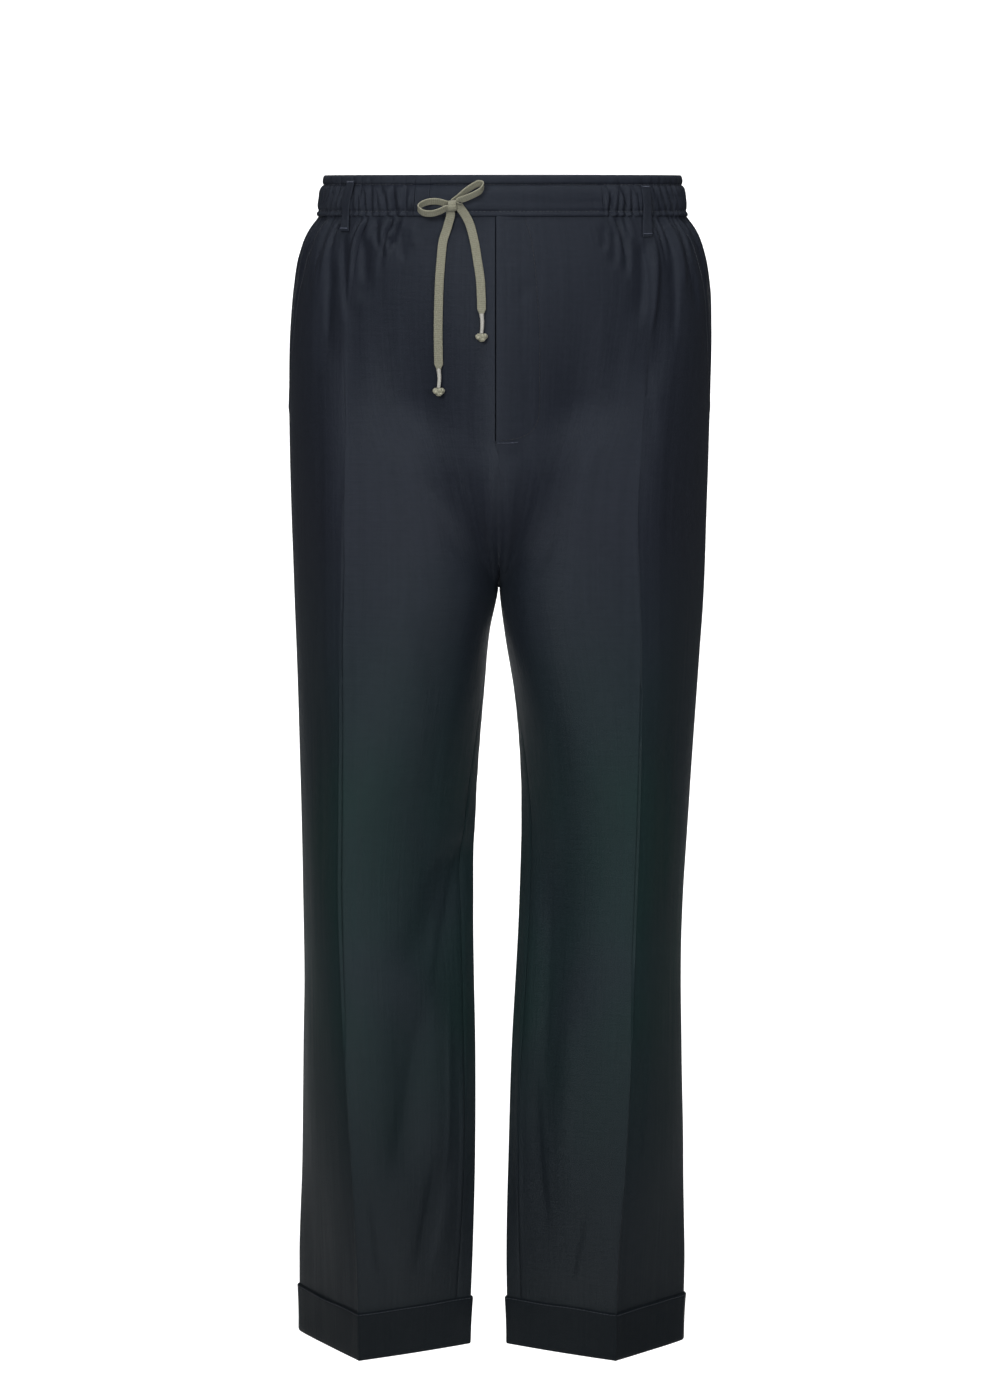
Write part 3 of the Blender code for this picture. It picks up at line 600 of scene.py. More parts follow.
# %% End knots
def make_end_knot(side):
    """An overhand knot: a tube along x = sin t + 2 sin 2t, y = sin 3t, z = cos t - 2 cos 2t, a trefoil."""
    (x, y, drop), length = TIPS[side]
    centre = np.array([x, y - 0.4, -(drop + length + END_KNOT[2] / 2)])
    turn = full_turn(120)
    across = np.sin(turn) + 2 * np.sin(2 * turn)
    curve = together(across, np.sin(3 * turn), np.cos(turn) - 2 * np.cos(2 * turn))
    room = np.array(END_KNOT) / 2 - END_KNOT_STRAND
    curve = curve / np.abs(curve).max(0) * room
    ahead = unit(np.roll(curve, -1, axis=0) - np.roll(curve, 1, axis=0))
    side_on = unit(np.cross(ahead, UP + 0.3))
    face = np.cross(ahead, side_on)
    round_it = full_turn(14)
    lumps = 1.0 + 0.08 * np.cos(6 * round_it[None, :] + 9 * turn[:, None])
    ring = side_on[:, None] * np.cos(round_it)[:, None] + face[:, None] * np.sin(round_it)[:, None]
    points = centre + curve[:, None] + ring * (END_KNOT_STRAND * lumps)[..., None]
    around = np.append(round_it, 2 * math.pi) * END_KNOT_STRAND
    down = np.linspace(0.0, 34.0, 121)
    uv = together(around[None, :], down[:, None])
    piece = closed_ring("end_knot_tied_" + side, points, uv, knot_finish_painted_light)
    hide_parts("end_knot_" + side)
    return piece


print("room for an end knot:", END_KNOT)

# %% Tie the bow and the ends of both strings
bow_wrap = make_bow_knot()
for side, (string, path, length) in strings.items():
    ends = [make_whipping(side), make_end_knot(side)]
    ends += [bow_wrap] if side == "right" else []
    print(string, "ends with", [piece.name for piece in ends])

# %% [markdown]
# ## The skin of the trousers
# Each half of the trousers is one smooth surface of two numbers: the drop below the waist, and a place
# round the body that runs from 0 at the side seam over the front to 1 at the centre or the inseam, and on
# over the back to 2. The walls of the plain model are stretches of this skin, so cloth that is worked out
# from it fits them.

# %% The skin's sizes, in millimetres
PANEL_TOP = 35.3
CROTCH = 354.0
CUFF_TOP = 976.0
HEM = 1020.0
CREASE = 0.5
CENTRE_BACK = 1.000001
INSEAM_SHIFT = 0.07
POCKET_PLACE_TOP = 0.235
POCKET_END = 205.0
SQUARENESS = 2.2
PRESSED = 0.55
PRESSED_AT_HEM = 0.92
THIGH_RISE = (185.0, 250.0)
THIGH_FADE = (340.0, 620.0)
CROTCH_FALL = (200.0, 350.0)
PRESS_DROPS = (800.0, 1000.0)
CREASE_DROPS = (50.0, 300.0)
CENTRE_LIFT = 190.0
SIDES = {"right": -1.0, "left": 1.0}
MM_A_PLACE = 215.0

# Drop, half width on the right, half width on the left, depth in front, depth behind
BODY = np.array([
    (0, 147.5, 153.5, 96, 94),
    (35, 154.5, 160.5, 101, 99),
    (48, 162.5, 168.5, 104, 106),
    (69, 170.5, 176.0, 108, 113),
    (95, 175.5, 181.0, 111, 118),
    (130, 179.0, 182.5, 113, 123),
    (180, 180.8, 182.0, 113, 127),
    (230, 180.8, 181.0, 112, 127),
    (290, 179.5, 179.0, 111, 121),
    (365, 177.3, 176.9, 108, 106),
    (418, 175.3, 173.5, 106, 100),
    (523, 173.2, 166.7, 100, 92),
    (630, 171.7, 160.3, 95, 90),
    (697, 171.2, 159.3, 92, 90),
    (764, 172.4, 160.5, 90, 88),
    (846, 174.0, 162.5, 85, 85),
    (927, 175.0, 162.0, 80, 82),
    (1020, 175.0, 160.0, 78, 80),
])
BODY_COLUMNS = ("drop", "right", "left", "front", "back")

# Drop, inner edge, depths of the side seam and of the inner edge, then both creases, each across and deep
LEGS = {
    "right": np.array([
        (0, 0.0, 0, 0, 112, -72, 100, 70),
        (100, 0.0, 0, 0, 128, -84, 106, 92),
        (200, 0.0, 0, 0, 130, -102, 102, 112),
        (300, 0.0, 2, 0, 133, -110, 95, 111),
        (354, 0.3, 5, 0, 134, -110, 90, 103),
        (390, 7.6, 8, -2, 135, -109, 88, 96),
        (443, 13.0, 10, -4, 135, -107, 85, 87),
        (523, 19.1, 12, -6, 136, -101, 82, 84),
        (627, 21.8, 16, -8, 137, -92, 80, 84),
        (693, 21.4, 18, -8, 135, -87, 80, 84),
        (760, 20.1, 20, -9, 132, -83, 81, 83),
        (845, 20.2, 24, -11, 127, -78, 83, 80),
        (927, 22.4, 27, -13, 123, -74, 84, 78),
        (1020, 25.6, 30, -14, 121, -70, 85, 78),
    ]),
    "left": np.array([
        (0, 0.0, 0, 0, 112, -72, 100, 70),
        (100, 0.0, 0, 0, 115, -88, 106, 92),
        (200, 0.0, 0, 0, 117, -103, 102, 112),
        (300, 0.0, 0, 0, 118, -110, 94, 111),
        (354, 0.3, 0, 0, 120, -110, 88, 103),
        (390, 4.3, 0, -2, 121, -109, 85, 95),
        (443, 13.0, 0, -4, 121, -107, 80, 86),
        (523, 19.1, 0, -6, 120, -101, 74, 82),
        (627, 17.4, 0, -8, 117, -92, 68, 80),
        (693, 14.0, 0, -8, 115, -87, 65, 79),
        (760, 10.5, 0, -9, 113, -83, 62, 78),
        (845, 7.9, 0, -11, 109, -78, 60, 76),
        (927, 6.2, 0, -13, 103, -74, 60, 75),
        (1020, 7.1, 0, -14, 101, -70, 60, 75),
    ]),
}
LEG_COLUMNS = ("drop", "inner", "side_y", "inner_y", "front_x", "front_y", "rear_x", "rear_y")

# Broad folds of the plain model: side, place and drop of each end, widths of both flanks, and height
BROAD_FOLDS = (
    ("right", 0.42, 60, 0.40, 170, 0.06, 0.06, -3.0),
    ("right", 0.56, 50, 0.56, 110, 0.04, 0.04, -2.5),
    ("right", 0.92, 560, 0.72, 690, 0.08, 0.08, -4.0),
    ("right", 0.72, 690, 0.68, 880, 0.08, 0.08, -4.0),
    ("right", 1.60, 60, 1.55, 180, 0.07, 0.07, -3.0),
    ("right", 1.10, 620, 1.35, 820, 0.08, 0.08, -4.0),
    ("left", 0.44, 60, 0.46, 190, 0.06, 0.06, -3.0),
    ("left", 0.80, 560, 0.80, 860, 0.07, 0.07, -3.0),
    ("left", 1.60, 60, 1.55, 180, 0.07, 0.07, -3.0),
    ("left", 1.12, 640, 1.35, 840, 0.08, 0.08, -4.0),
)
print("rows in the body's table:", len(BODY), "and in each leg's:", len(LEGS["right"]))

# %% The skin's functions
def column(table, names, name, drop):
    """One column of a table at the given drops."""
    return through(table[:, 0], table[:, names.index(name)], drop)


def body_section(side, u, face, drop):
    """Quarter of a rounded oblong: width times cos to a power, depth times sin to the same power."""
    front, back = (column(BODY, BODY_COLUMNS, name, drop) for name in ("front", "back"))
    depth = np.where(face < 0, front, back)
    angle = u * math.pi / 2
    power = 2.0 / SQUARENESS
    width = column(BODY, BODY_COLUMNS, side, drop)
    return width * np.cos(angle).clip(0.0) ** power, face * depth * np.sin(angle) ** power


def leg_section(side, u, face, drop):
    """Half a leg, over the crease: each stretch is part straight line and part quarter of an ellipse.

    The inner thigh is fuller: t squared across, and 1 less the 2.5th power of 1 - t outwards.
    """
    value = {name: column(LEGS[side], LEG_COLUMNS, name, drop) for name in LEG_COLUMNS[1:]}
    crease_x = np.where(face < 0, value["front_x"], value["rear_x"])
    crease_y = np.where(face < 0, value["front_y"], value["rear_y"])
    outer = u < CREASE
    t = np.where(outer, u / CREASE, (1.0 - u) / (1.0 - CREASE)).clip(0.0, 1.0)
    rise = ramp(drop, *THIGH_RISE)
    fade = ramp(drop, *THIGH_FADE)
    forward = rise * (1.0 - ramp(drop, *CROTCH_FALL))
    inner_y = value["inner_y"] + forward * (crease_y - value["inner_y"])
    end_x = np.where(outer, column(BODY, BODY_COLUMNS, side, drop), value["inner"])
    end_y = np.where(outer, value["side_y"], inner_y)
    round_x = crease_x + (end_x - crease_x) * np.cos(t * math.pi / 2)
    round_y = end_y + (crease_y - end_y) * np.sin(t * math.pi / 2)
    straight_x = end_x + (crease_x - end_x) * t
    straight_y = end_y + (crease_y - end_y) * t
    flat = PRESSED + (PRESSED_AT_HEM - PRESSED) * ramp(drop, *PRESS_DROPS)
    x = flat * straight_x + (1.0 - flat) * round_x
    y = flat * straight_y + (1.0 - flat) * round_y
    full = np.where(outer, 0.0, rise * (1.0 - fade))
    full_x = end_x + (crease_x - end_x) * t**2
    full_y = end_y + (crease_y - end_y) * (1.0 - (1.0 - t) ** 2.5)
    return x + full * (full_x - x), y + full * (full_y - y)


print("half depth in front at the hip:", round(float(column(BODY, BODY_COLUMNS, "front", 200.0)), 1))

# %% One skin for body and legs
def body_share(u, face, drop):
    """How much of the skin is body, not leg: none below the crease's start, or at the centre the crotch."""
    at_crease = 1.0 - ramp(drop, *CREASE_DROPS)
    lift = np.clip((drop - CENTRE_LIFT) / (CROTCH - CENTRE_LIFT), 0.0, 1.0)
    power = 1.3 - 0.7 * ramp(u, 0.84, 0.99)
    at_centre = np.where(face < 0, (1.0 - lift**2) ** power, (1.0 - lift**3) ** power)
    inner = smoothstep((u - CREASE) / (1.0 - CREASE))
    return (1.0 - inner) * at_crease + inner * at_centre


def bare_skin(side, place, drop):
    """Points of one half, with X counted outwards from the middle: body and leg sections, mixed by share."""
    place = np.mod(place, 2.0)
    face = np.where(place <= 1.0, -1.0, 1.0)
    u = np.where(place <= 1.0, place, 2.0 - place)
    share = body_share(u, face, drop)
    body_x, body_y = body_section(side, u, face, drop)
    leg_x, leg_y = leg_section(side, u, face, drop)
    x = share * body_x + (1.0 - share) * leg_x
    y = share * body_y + (1.0 - share) * leg_y
    return together(x, y, -np.asarray(drop, dtype=float))


def outward(side, place, drop):
    """Unit vectors square to the skin, from small steps round it and down it."""
    step = 0.004
    above = drop < CROTCH
    low = np.where(above & (place > 1.0), np.maximum(place - step, CENTRE_BACK), place - step)
    high = np.where(above & (place <= 1.0), np.minimum(place + step, 1.0), place + step)
    around = bare_skin(side, high, drop) - bare_skin(side, low, drop)
    down = bare_skin(side, place, drop + 1.0) - bare_skin(side, place, drop - 1.0)
    return unit(np.cross(around, down))


def folds(rows, reach, side, place, drop):
    """Each fold is a bell across its line, may be steeper on one flank, and fades out at both ends."""
    total = np.zeros(np.broadcast(place, drop).shape)
    for fold_side, start, start_drop, end, end_drop, steep, soft, height in rows:
        if fold_side == side:
            share = (drop - start_drop) / (end_drop - start_drop)
            off = place - (start + (end - start) * np.clip(share, 0.0, 1.0))
            fade = smoothstep(share / reach) * smoothstep((1.0 - share) / reach)
            total = total + height * fade * bell(off, np.where(off < 0, steep, soft))
    return total


def skin(side, place, drop, stand=0.0):
    """World points of one half in millimetres, moved out from the bare skin by its folds and by stand."""
    place, drop, stand = np.broadcast_arrays(*(np.asarray(v, dtype=float) for v in (place, drop, stand)))
    height = folds(BROAD_FOLDS, 0.3, side, place, drop) + stand
    points = bare_skin(side, place, drop) + outward(side, place, drop) * height[..., None]
    points[..., 0] = np.where(drop < CROTCH, np.maximum(points[..., 0], 0.1), points[..., 0])
    points[..., 0] *= SIDES[side]
    return points


def place_of(side, face, x, drop):
    """The place at a distance from the middle, read off the bare skin at that drop."""
    places = np.linspace(0.0, 1.0, 200) if face == "front" else np.linspace(2.0, CENTRE_BACK, 200)
    reach = bare_skin(side, places, float(drop))[:, 0]
    return float(np.interp(-x, -reach, places))


print("front of the left crease at the knee:", skin("left", 0.5, 620.0).round(1))

# %% [markdown]
# ## Gathers, flutes and creases
# Under the elastic the cloth is drawn up into gathers: round ridges with pinched valleys between them, each
# with its own height and length, and a few run on as long flutes. Lower down the cloth only has slow
# ripples and the drag of the legs. All of it is a height over the skin, so every piece that shares a seam
# shares its folds too.

# %% Gathers, and where the belt loops hold them down
# Name, distance from the middle at the top and at the bottom, face, drop of the top and of the bottom
BELT_LOOPS = (
    ("belt_loop_front_right", -122.5, -128.5, "front", 5.0, 48.0),
    ("belt_loop_front_left", 120.5, 123.5, "front", 9.0, 52.0),
    ("belt_loop_back_right", -117.0, -124.0, "back", 6.0, 49.0),
    ("belt_loop_back_left", 121.0, 128.0, "back", 6.0, 49.0),
    ("belt_loop_centre_back", 0.0, 0.0, "back", 6.0, 49.0),
)
FLAT_PLACE = {"right": 1.0 - 25.5 / 90.0, "left": 1.0 - 30.8 / 90.0}
GATHERS_FRONT = {"right": 15, "left": 14}
GATHERS_BACK = 20
RIDGE = 2.4
VALLEY = 4.0


def uneven(number, turn):
    """A repeatable spread of values from 0 to 1: the wave of a whole number times an odd turn."""
    return 0.5 + 0.5 * np.sin(number * turn + 1.3 * turn)


def side_distance(place):
    """Millimetres round the skin from the side seam."""
    return np.minimum(np.abs(place), np.abs(2.0 - place)) * MM_A_PLACE


def under_loops(side, place, drop):
    """How much cloth is held flat under the ends of the belt loops: 1 there, and none a little way off."""
    held = np.zeros(np.broadcast(place, drop).shape)
    for _, _, x, face, _, bottom in BELT_LOOPS:
        if x * SIDES[side] >= 0:
            off = (place - place_of(side, face, abs(x), bottom)) * MM_A_PLACE / 9.0
            held = held + np.exp(-(off**4)) * (1.0 - ramp(drop, bottom, bottom + 14.0))
    return np.clip(held, 0.0, 1.0)


def gathers(side, place, drop):
    """Each ridge is sin(pi t) across its cell, and the valleys at its edges are the cubes of 1 - t and t."""
    in_front = place <= 1.0
    count = np.where(in_front, GATHERS_FRONT[side], GATHERS_BACK)
    u = np.where(in_front, place / FLAT_PLACE[side], 2.0 - place)
    s = u * count
    inside = np.clip(u * 8.0, 0.0, 1.0) * np.clip((1.0 - u) * 8.0, 0.0, 1.0)
    s = s + 0.28 * np.sin(1.9 * s + SIDES[side]) * inside
    cell = np.floor(s) + np.where(in_front, 0.0, 31.0)
    t = s - np.floor(s)
    below = drop - PANEL_TOP
    start = 0.12 + 0.88 * smoothstep((below + 1.5) / 9.0)

    def fade(number, turn, short, long):
        reach = short + long * uneven(number, turn) ** 2
        return start * (1.0 - smoothstep(below / reach)) * (0.55 + 0.6 * uneven(number, turn * 1.7))

    height = RIDGE * fade(cell, 2.4, 24.0, 70.0) * np.sin(math.pi * t)
    height = height - VALLEY * fade(cell, 3.7, 20.0, 62.0) * (1.0 - t) ** 3
    height = height - VALLEY * fade(cell + 1.0, 3.7, 20.0, 62.0) * t**3
    edge = smoothstep((1.0 - u) * count / 1.2)
    return height * np.where(in_front & (u >= 1.0), 0.0, np.where(in_front, edge, 1.0))


print("height of one gather:", gathers("left", np.array([0.3]), np.array([50.0])).round(2))

# %% Flutes and drags, each from one point to another on the front or the back
# For each side and face: distance from the middle and drop of the upper end, then of the lower, the widths
# of the steep and of the soft flank, and the height. Millimetres throughout
FLUTES = {
    ("right", "front"): (
        (128, 44, 125, 132, 3.0, 9.0, -3.4), (112, 40, 113, 96, 2.2, 6.0, -2.6),
        (103, 37, 101, 64, 1.8, 3.5, -2.4), (96, 37, 93, 70, 3.6, 4.2, 2.2),
        (89, 37, 88, 62, 1.8, 3.2, -2.2), (82, 40, 80, 76, 2.0, 4.5, -1.8),
        (136, 46, 146, 150, 2.4, 7.0, -2.2), (120, 100, 132, 240, 5.0, 14.0, -1.6),
        (72, 40, 70, 64, 2.4, 4.5, 1.2), (148, 50, 158, 110, 3.0, 8.0, 1.6),
        (112, 90, 108, 230, 9.0, 18.0, 1.5), (60, 250, 20, 340, 8.0, 16.0, -1.2),
        (30, 230, 10, 330, 6.0, 14.0, -1.8), (1, 226, 1, 345, 1.6, 3.0, -1.6),
        (26, 550, 60, 720, 5.0, 16.0, -1.8), (60, 690, 94, 880, 7.0, 20.0, -1.5),
        (51, 835, 74, 962, 5.0, 14.0, -1.4), (34, 740, 36, 962, 1.8, 4.5, 0.9),
        (44, 690, 47, 880, 1.8, 4.5, 0.8), (112, 860, 100, 962, 4.0, 12.0, -1.0),
        (70, 330, 52, 470, 8.0, 20.0, -1.2), (40, 860, 60, 960, 5.0, 12.0, 1.3),
        (150, 420, 152, 620, 8.0, 20.0, -1.2),
    ),
    ("left", "front"): (
        (12, 70, 26, 96, 3.0, 5.0, 0.6), (30, 84, 16, 112, 2.6, 5.0, -0.6),
        (10, 214, 34, 262, 4.0, 9.0, -0.9), (1, 226, 1, 345, 1.6, 3.0, -1.6),
        (114, 40, 116, 134, 3.4, 9.0, -3.4), (128, 52, 128, 142, 1.8, 3.2, 2.0),
        (104, 38, 106, 90, 2.0, 5.0, -2.6), (95, 38, 96, 82, 2.0, 5.0, -2.2),
        (87, 38, 88, 66, 1.8, 4.0, -1.8), (138, 44, 148, 150, 2.4, 7.0, -2.2),
        (122, 110, 132, 250, 5.0, 14.0, -1.4), (146, 46, 156, 100, 2.6, 6.0, 1.6),
        (158, 60, 168, 120, 3.0, 8.0, -1.6), (84, 100, 78, 240, 10.0, 20.0, 1.4),
        (22, 240, 8, 335, 6.0, 14.0, -1.6), (60, 260, 24, 345, 8.0, 16.0, -1.3),
        (40, 560, 36, 800, 7.0, 14.0, -1.6), (22, 690, 20, 960, 2.0, 6.0, 1.0),
        (30, 760, 44, 930, 4.0, 10.0, -1.4), (76, 880, 60, 966, 4.0, 12.0, -1.2),
        (84, 340, 66, 480, 8.0, 20.0, -1.0), (128, 700, 118, 860, 5.0, 14.0, -0.9),
        (58, 700, 60, 900, 9.0, 16.0, 1.3), (142, 430, 140, 640, 8.0, 20.0, -1.2),
    ),
    ("right", "back"): (
        (130, 46, 134, 140, 4.0, 9.0, -2.2), (92, 44, 96, 112, 3.5, 8.0, -1.8),
        (58, 44, 60, 126, 3.5, 8.0, 1.6), (120, 300, 40, 380, 9.0, 16.0, -2.2),
        (140, 330, 60, 430, 9.0, 18.0, -1.8), (56, 560, 90, 700, 8.0, 16.0, -1.8),
    ),
    ("left", "back"): (
        (128, 46, 132, 132, 4.0, 9.0, -2.0), (84, 44, 88, 120, 3.5, 8.0, -1.8),
        (48, 44, 52, 104, 3.5, 8.0, 1.6), (126, 310, 44, 392, 9.0, 16.0, -2.2),
        (138, 344, 66, 440, 9.0, 18.0, -1.8), (50, 580, 84, 716, 8.0, 16.0, -1.8),
    ),
}
FLUTE_REACH = 0.35
FLUTE_LINES = []
for (side, face), rows in FLUTES.items():
    for x0, d0, x1, d1, steep, soft, height in rows:
        upper, lower = place_of(side, face, x0, d0), place_of(side, face, x1, d1)
        FLUTE_LINES.append((side, upper, d0, lower, d1, steep / MM_A_PLACE, soft / MM_A_PLACE, height))


def ripples(side, place, drop):
    """Slow unevenness of worn cloth: long waves that cross at an angle, about half a millimetre high."""
    u = place * MM_A_PLACE + (700.0 if side == "left" else 0.0)
    wave = np.sin(u / 17.0 + drop / 61.0) + np.sin(u / 29.0 - drop / 83.0 + 1.0)
    wave = wave + 0.8 * np.sin(u / 11.0 + 1.7 * np.sin(drop / 47.0))
    wave = wave + 0.7 * np.sin(u / 41.0 + drop / 37.0 + 2.0)
    return 0.16 * wave * ramp(drop, 40.0, 100.0)


print("flutes placed by hand:", len(FLUTE_LINES))

# %% Seams, and all heights together
CREASE_WEAR = 6.0
CREASE_REACH = 32.0


def seam_dip(distance, depth=0.45, width=1.3):
    """The cloth dips to a seam: a narrow bell of the distance from it."""
    return -depth * bell(distance, width)


def pocket_place(drop):
    """Where the slanted pocket edge crosses this height: a straight line from waistband to side seam."""
    return POCKET_PLACE_TOP * np.clip((POCKET_END - drop) / (POCKET_END - PANEL_TOP), 0.0, 1.0)


def inseam_place(drop):
    """The inseam leaves the inner edge below the crotch and comes a little to the front."""
    return 1.0 - INSEAM_SHIFT * ramp(drop, CROTCH, CROTCH + 220.0)


def worn_crease(place, drop):
    """From hip to knee a parabola takes the place of the pressed ridge, worn round, and a thin line stays."""
    off = np.abs(np.where(place <= 1.0, place, 2.0 - place) - CREASE) * MM_A_PLACE
    worn = ramp(drop, 90.0, 220.0) * (1.0 - ramp(drop, 600.0, 900.0))
    rounded = -CREASE_WEAR * worn * np.clip(1.0 - off / CREASE_REACH, 0.0, 1.0) ** 2
    return rounded + 0.45 * bell(off, 1.1) * ramp(drop, 120.0, 240.0)


def hem_width(place, drop):
    """The leg is a little wider across at the turn-up than the plain model's."""
    return 2.6 * ramp(drop, 860.0, 980.0) * bell(side_distance(place), 45.0)


def relief(side, place, drop):
    """Gathers, flutes, ripples, the worn crease and the dip at the side seam, as one height over the skin."""
    loose = gathers(side, place, drop) + folds(FLUTE_LINES, FLUTE_REACH, side, place, drop)
    loose = loose * (1.0 - 0.8 * under_loops(side, place, drop))
    smooth = ripples(side, place, drop) * (1.0 - ramp(drop, 940.0, 970.0)) + seam_dip(side_distance(place))
    return loose + smooth + worn_crease(place, drop) + hem_width(place, drop)


print("pocket edge at the top:", pocket_place(PANEL_TOP), "halfway:", round(float(pocket_place(120.0)), 3))

# %% [markdown]
# ## The four panels
# A front and a back panel make each leg. The grid of a panel has a column on the pressed crease, so the
# crease stays sharp, and its rows lie closest where the gathers are. The left front laps over the right one
# at the fly.

# %% Rows and columns of a panel
CLOTH = 0.8
SEAM_PLACE = 0.0011
FLY_LAP = 3.0
FLY_LIFT = 1.2
FLY_END = 224.0
ROW_STRETCHES = (
    (33.2, 36.0, 4), (36.0, 60.0, 24), (60.0, 112.0, 30), (112.0, 240.0, 40), (240.0, 300.0, 18),
    (300.0, 340.0, 18), (340.0, 356.0, 18), (356.0, 400.0, 14), (400.0, 976.0, 110), (976.0, HEM - 0.6, 10),
)
FRONT_COLUMNS = (48, 64)
BACK_COLUMNS = (54, 60)
ROWS = np.concatenate([np.linspace(a, b, n, endpoint=False) for a, b, n in ROW_STRETCHES] + [[HEM - 0.6]])


def panel_grid(starts, creases, ends, counts):
    """Places of a panel: even steps from its start to the crease, and even steps on to its end."""
    first = np.linspace(0.0, 1.0, counts[0] + 1)[None, :]
    second = np.linspace(0.0, 1.0, counts[1] + 1)[None, 1:]
    outer = starts[:, None] + (creases - starts)[:, None] * first
    inner = creases[:, None] + (ends - creases)[:, None] * second
    return np.concatenate([outer, inner], axis=1)


print("rows in a panel:", len(ROWS))

# %% Cloth with the fly's lap
def on_fly(drop):
    """1 down to the foot of the fly, and none a little below it."""
    return 1.0 - ramp(drop, FLY_END, FLY_END + 12.0)


def front_skin(side, place, drop, height):
    """The skin, with its centre edge moved to the fly's lap and the left front lifted where it laps over."""
    points = skin(side, place, drop, height)
    points[..., 0] -= FLY_LAP * ramp(place, 0.90, 1.0) * on_fly(drop)
    if side == "left":
        points[..., 1] -= FLY_LIFT * ramp(place, 0.93, 0.98) * on_fly(drop)
    return points


def lay_cloth(name, nodes, points, over, down, turned, thickness=CLOTH):
    """A shell of twill on a grid of points. Where the grid runs the other way, it is turned to face out."""
    uv = together(over, down)
    if turned:
        points, uv = points[:, ::-1], uv[:, ::-1]
    piece = shell(name, points, uv, thickness, twill)
    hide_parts(*nodes)
    return piece


print("fly laps by", FLY_LAP, "mm")

# %% Fronts and backs
J_LINE = np.array([
    (22.0, 37.0), (26.0, 50.0), (29.2, 70.0), (31.6, 100.0), (33.6, 130.0), (33.8, 165.0), (33.6, 190.0),
    (32.0, 205.0), (26.0, 214.0), (17.0, 218.5), (6.0, 220.0), (-1.0, 220.6),
])
POCKET_STITCH = 6.0


def line_on_front(side, corners, steps):
    """A smooth line through points given as distance from the middle and drop, as places and drops."""
    _, x, drop = resample(corners, steps)
    x = np.maximum(x + FLY_LAP * on_fly(drop) * (x < 12.0), 0.0)
    return np.array([place_of(side, "front", a, b) for a, b in zip(x, drop)]), drop


def groove(side, place, drop, corners, depth=0.4, width=1.1):
    """The cloth dips along a row of stitches: a narrow bell of the distance from a smooth line."""
    line_place, line_drop = line_on_front(side, corners, 160)
    total = np.zeros(place.shape)
    for start in range(0, len(place), 16):
        rows = slice(start, start + 16)
        off = (place[rows, :, None] - line_place) * MM_A_PLACE
        off = off**2 + (drop[rows, :, None] - line_drop) ** 2
        total[rows] = -depth * np.exp(-off.min(axis=2) / width**2)
    return total


def make_front(side):
    """The front panel: from the pocket edge and the side seam to the centre front and the inseam."""
    drop = ROWS[:, None]
    start = pocket_place(ROWS) + SEAM_PLACE
    end = np.where(ROWS < CROTCH, 1.0, inseam_place(ROWS)) - SEAM_PLACE
    place = panel_grid(start, np.full(len(ROWS), CREASE), end, FRONT_COLUMNS)
    height = relief(side, place, drop)
    edge = (place - pocket_place(drop)) * MM_A_PLACE
    in_pocket = smoothstep((POCKET_END - drop) / 8.0)
    height = height + in_pocket * 0.55 * bell(edge, 3.0)
    height = height + seam_dip((end[:, None] - place) * MM_A_PLACE) * (drop > FLY_END)
    height = height + in_pocket * seam_dip(edge - POCKET_STITCH, 0.3, 1.0)
    if side == "left":
        height = height + groove(side, place, drop + 0.0 * place, J_LINE)
        height = height + 0.4 * bell((place - 1.0) * MM_A_PLACE + 1.6, 1.2) * (drop < FLY_END)
    points = front_skin(side, place, drop, height)
    over = place * MM_A_PLACE
    return lay_cloth("front_cloth_" + side, ["front_" + side], points, over, drop, side == "right")


def make_back(side):
    """The back panel: from the side seam to the centre back and the inseam."""
    drop = ROWS[:, None]
    end = np.where(ROWS < CROTCH, CENTRE_BACK, inseam_place(ROWS) + SEAM_PLACE)
    start = np.full(len(ROWS), 2.0 - SEAM_PLACE)
    place = panel_grid(start, np.full(len(ROWS), 2.0 - CREASE), end, BACK_COLUMNS)
    height = relief(side, place, drop) + seam_dip((place - end[:, None]) * MM_A_PLACE)
    points = skin(side, place, drop, height)
    return lay_cloth("back_cloth_" + side, ["back_" + side], points, place * MM_A_PLACE, drop, side == "left")


print("corners of the fly's row:", len(J_LINE))

# %% Seam edges, and the panels themselves
SEAM_ALLOWANCE = 8.0
ALLOWANCE_SINK = 1.0
ALLOWANCE_CLOTH = 0.5


def make_seam(name, side, middle, rows, nodes):
    """The turned-in edges behind a seam: a narrow strip inside the skin, at equal widths from the seam."""
    drop = rows[:, None]
    place = middle(drop) + SEAM_ALLOWANCE / MM_A_PLACE * np.linspace(-1.0, 1.0, 11)[None, :]
    points = skin(side, place, drop, relief(side, place, drop) - ALLOWANCE_SINK)
    return lay_cloth(name, nodes, points, place * MM_A_PLACE, drop, side == "right", ALLOWANCE_CLOTH)


def make_centre_seam(name, face, rows, nodes):
    """The turned-in edges behind a seam on the middle line, from the right half over to the left one."""
    drop = rows[:, None]
    half = np.linspace(0.0, SEAM_ALLOWANCE / MM_A_PLACE, 6)
    halves = []
    for side in SIDES:
        place = (1.0 - half if face < 0 else CENTRE_BACK + half)[None, :] + 0.0 * drop
        points = skin(side, place, drop, relief(side, place, drop) - ALLOWANCE_SINK)
        points[:, 0, 0] = 0.0
        halves.append(points[:, ::-1] if side == "right" else points[:, 1:])
    points = np.concatenate(halves, axis=1)
    over = -face * np.linspace(-SEAM_ALLOWANCE, SEAM_ALLOWANCE, points.shape[1])
    return lay_cloth(name, nodes, points, over[None, :], drop, face > 0, ALLOWANCE_CLOTH)


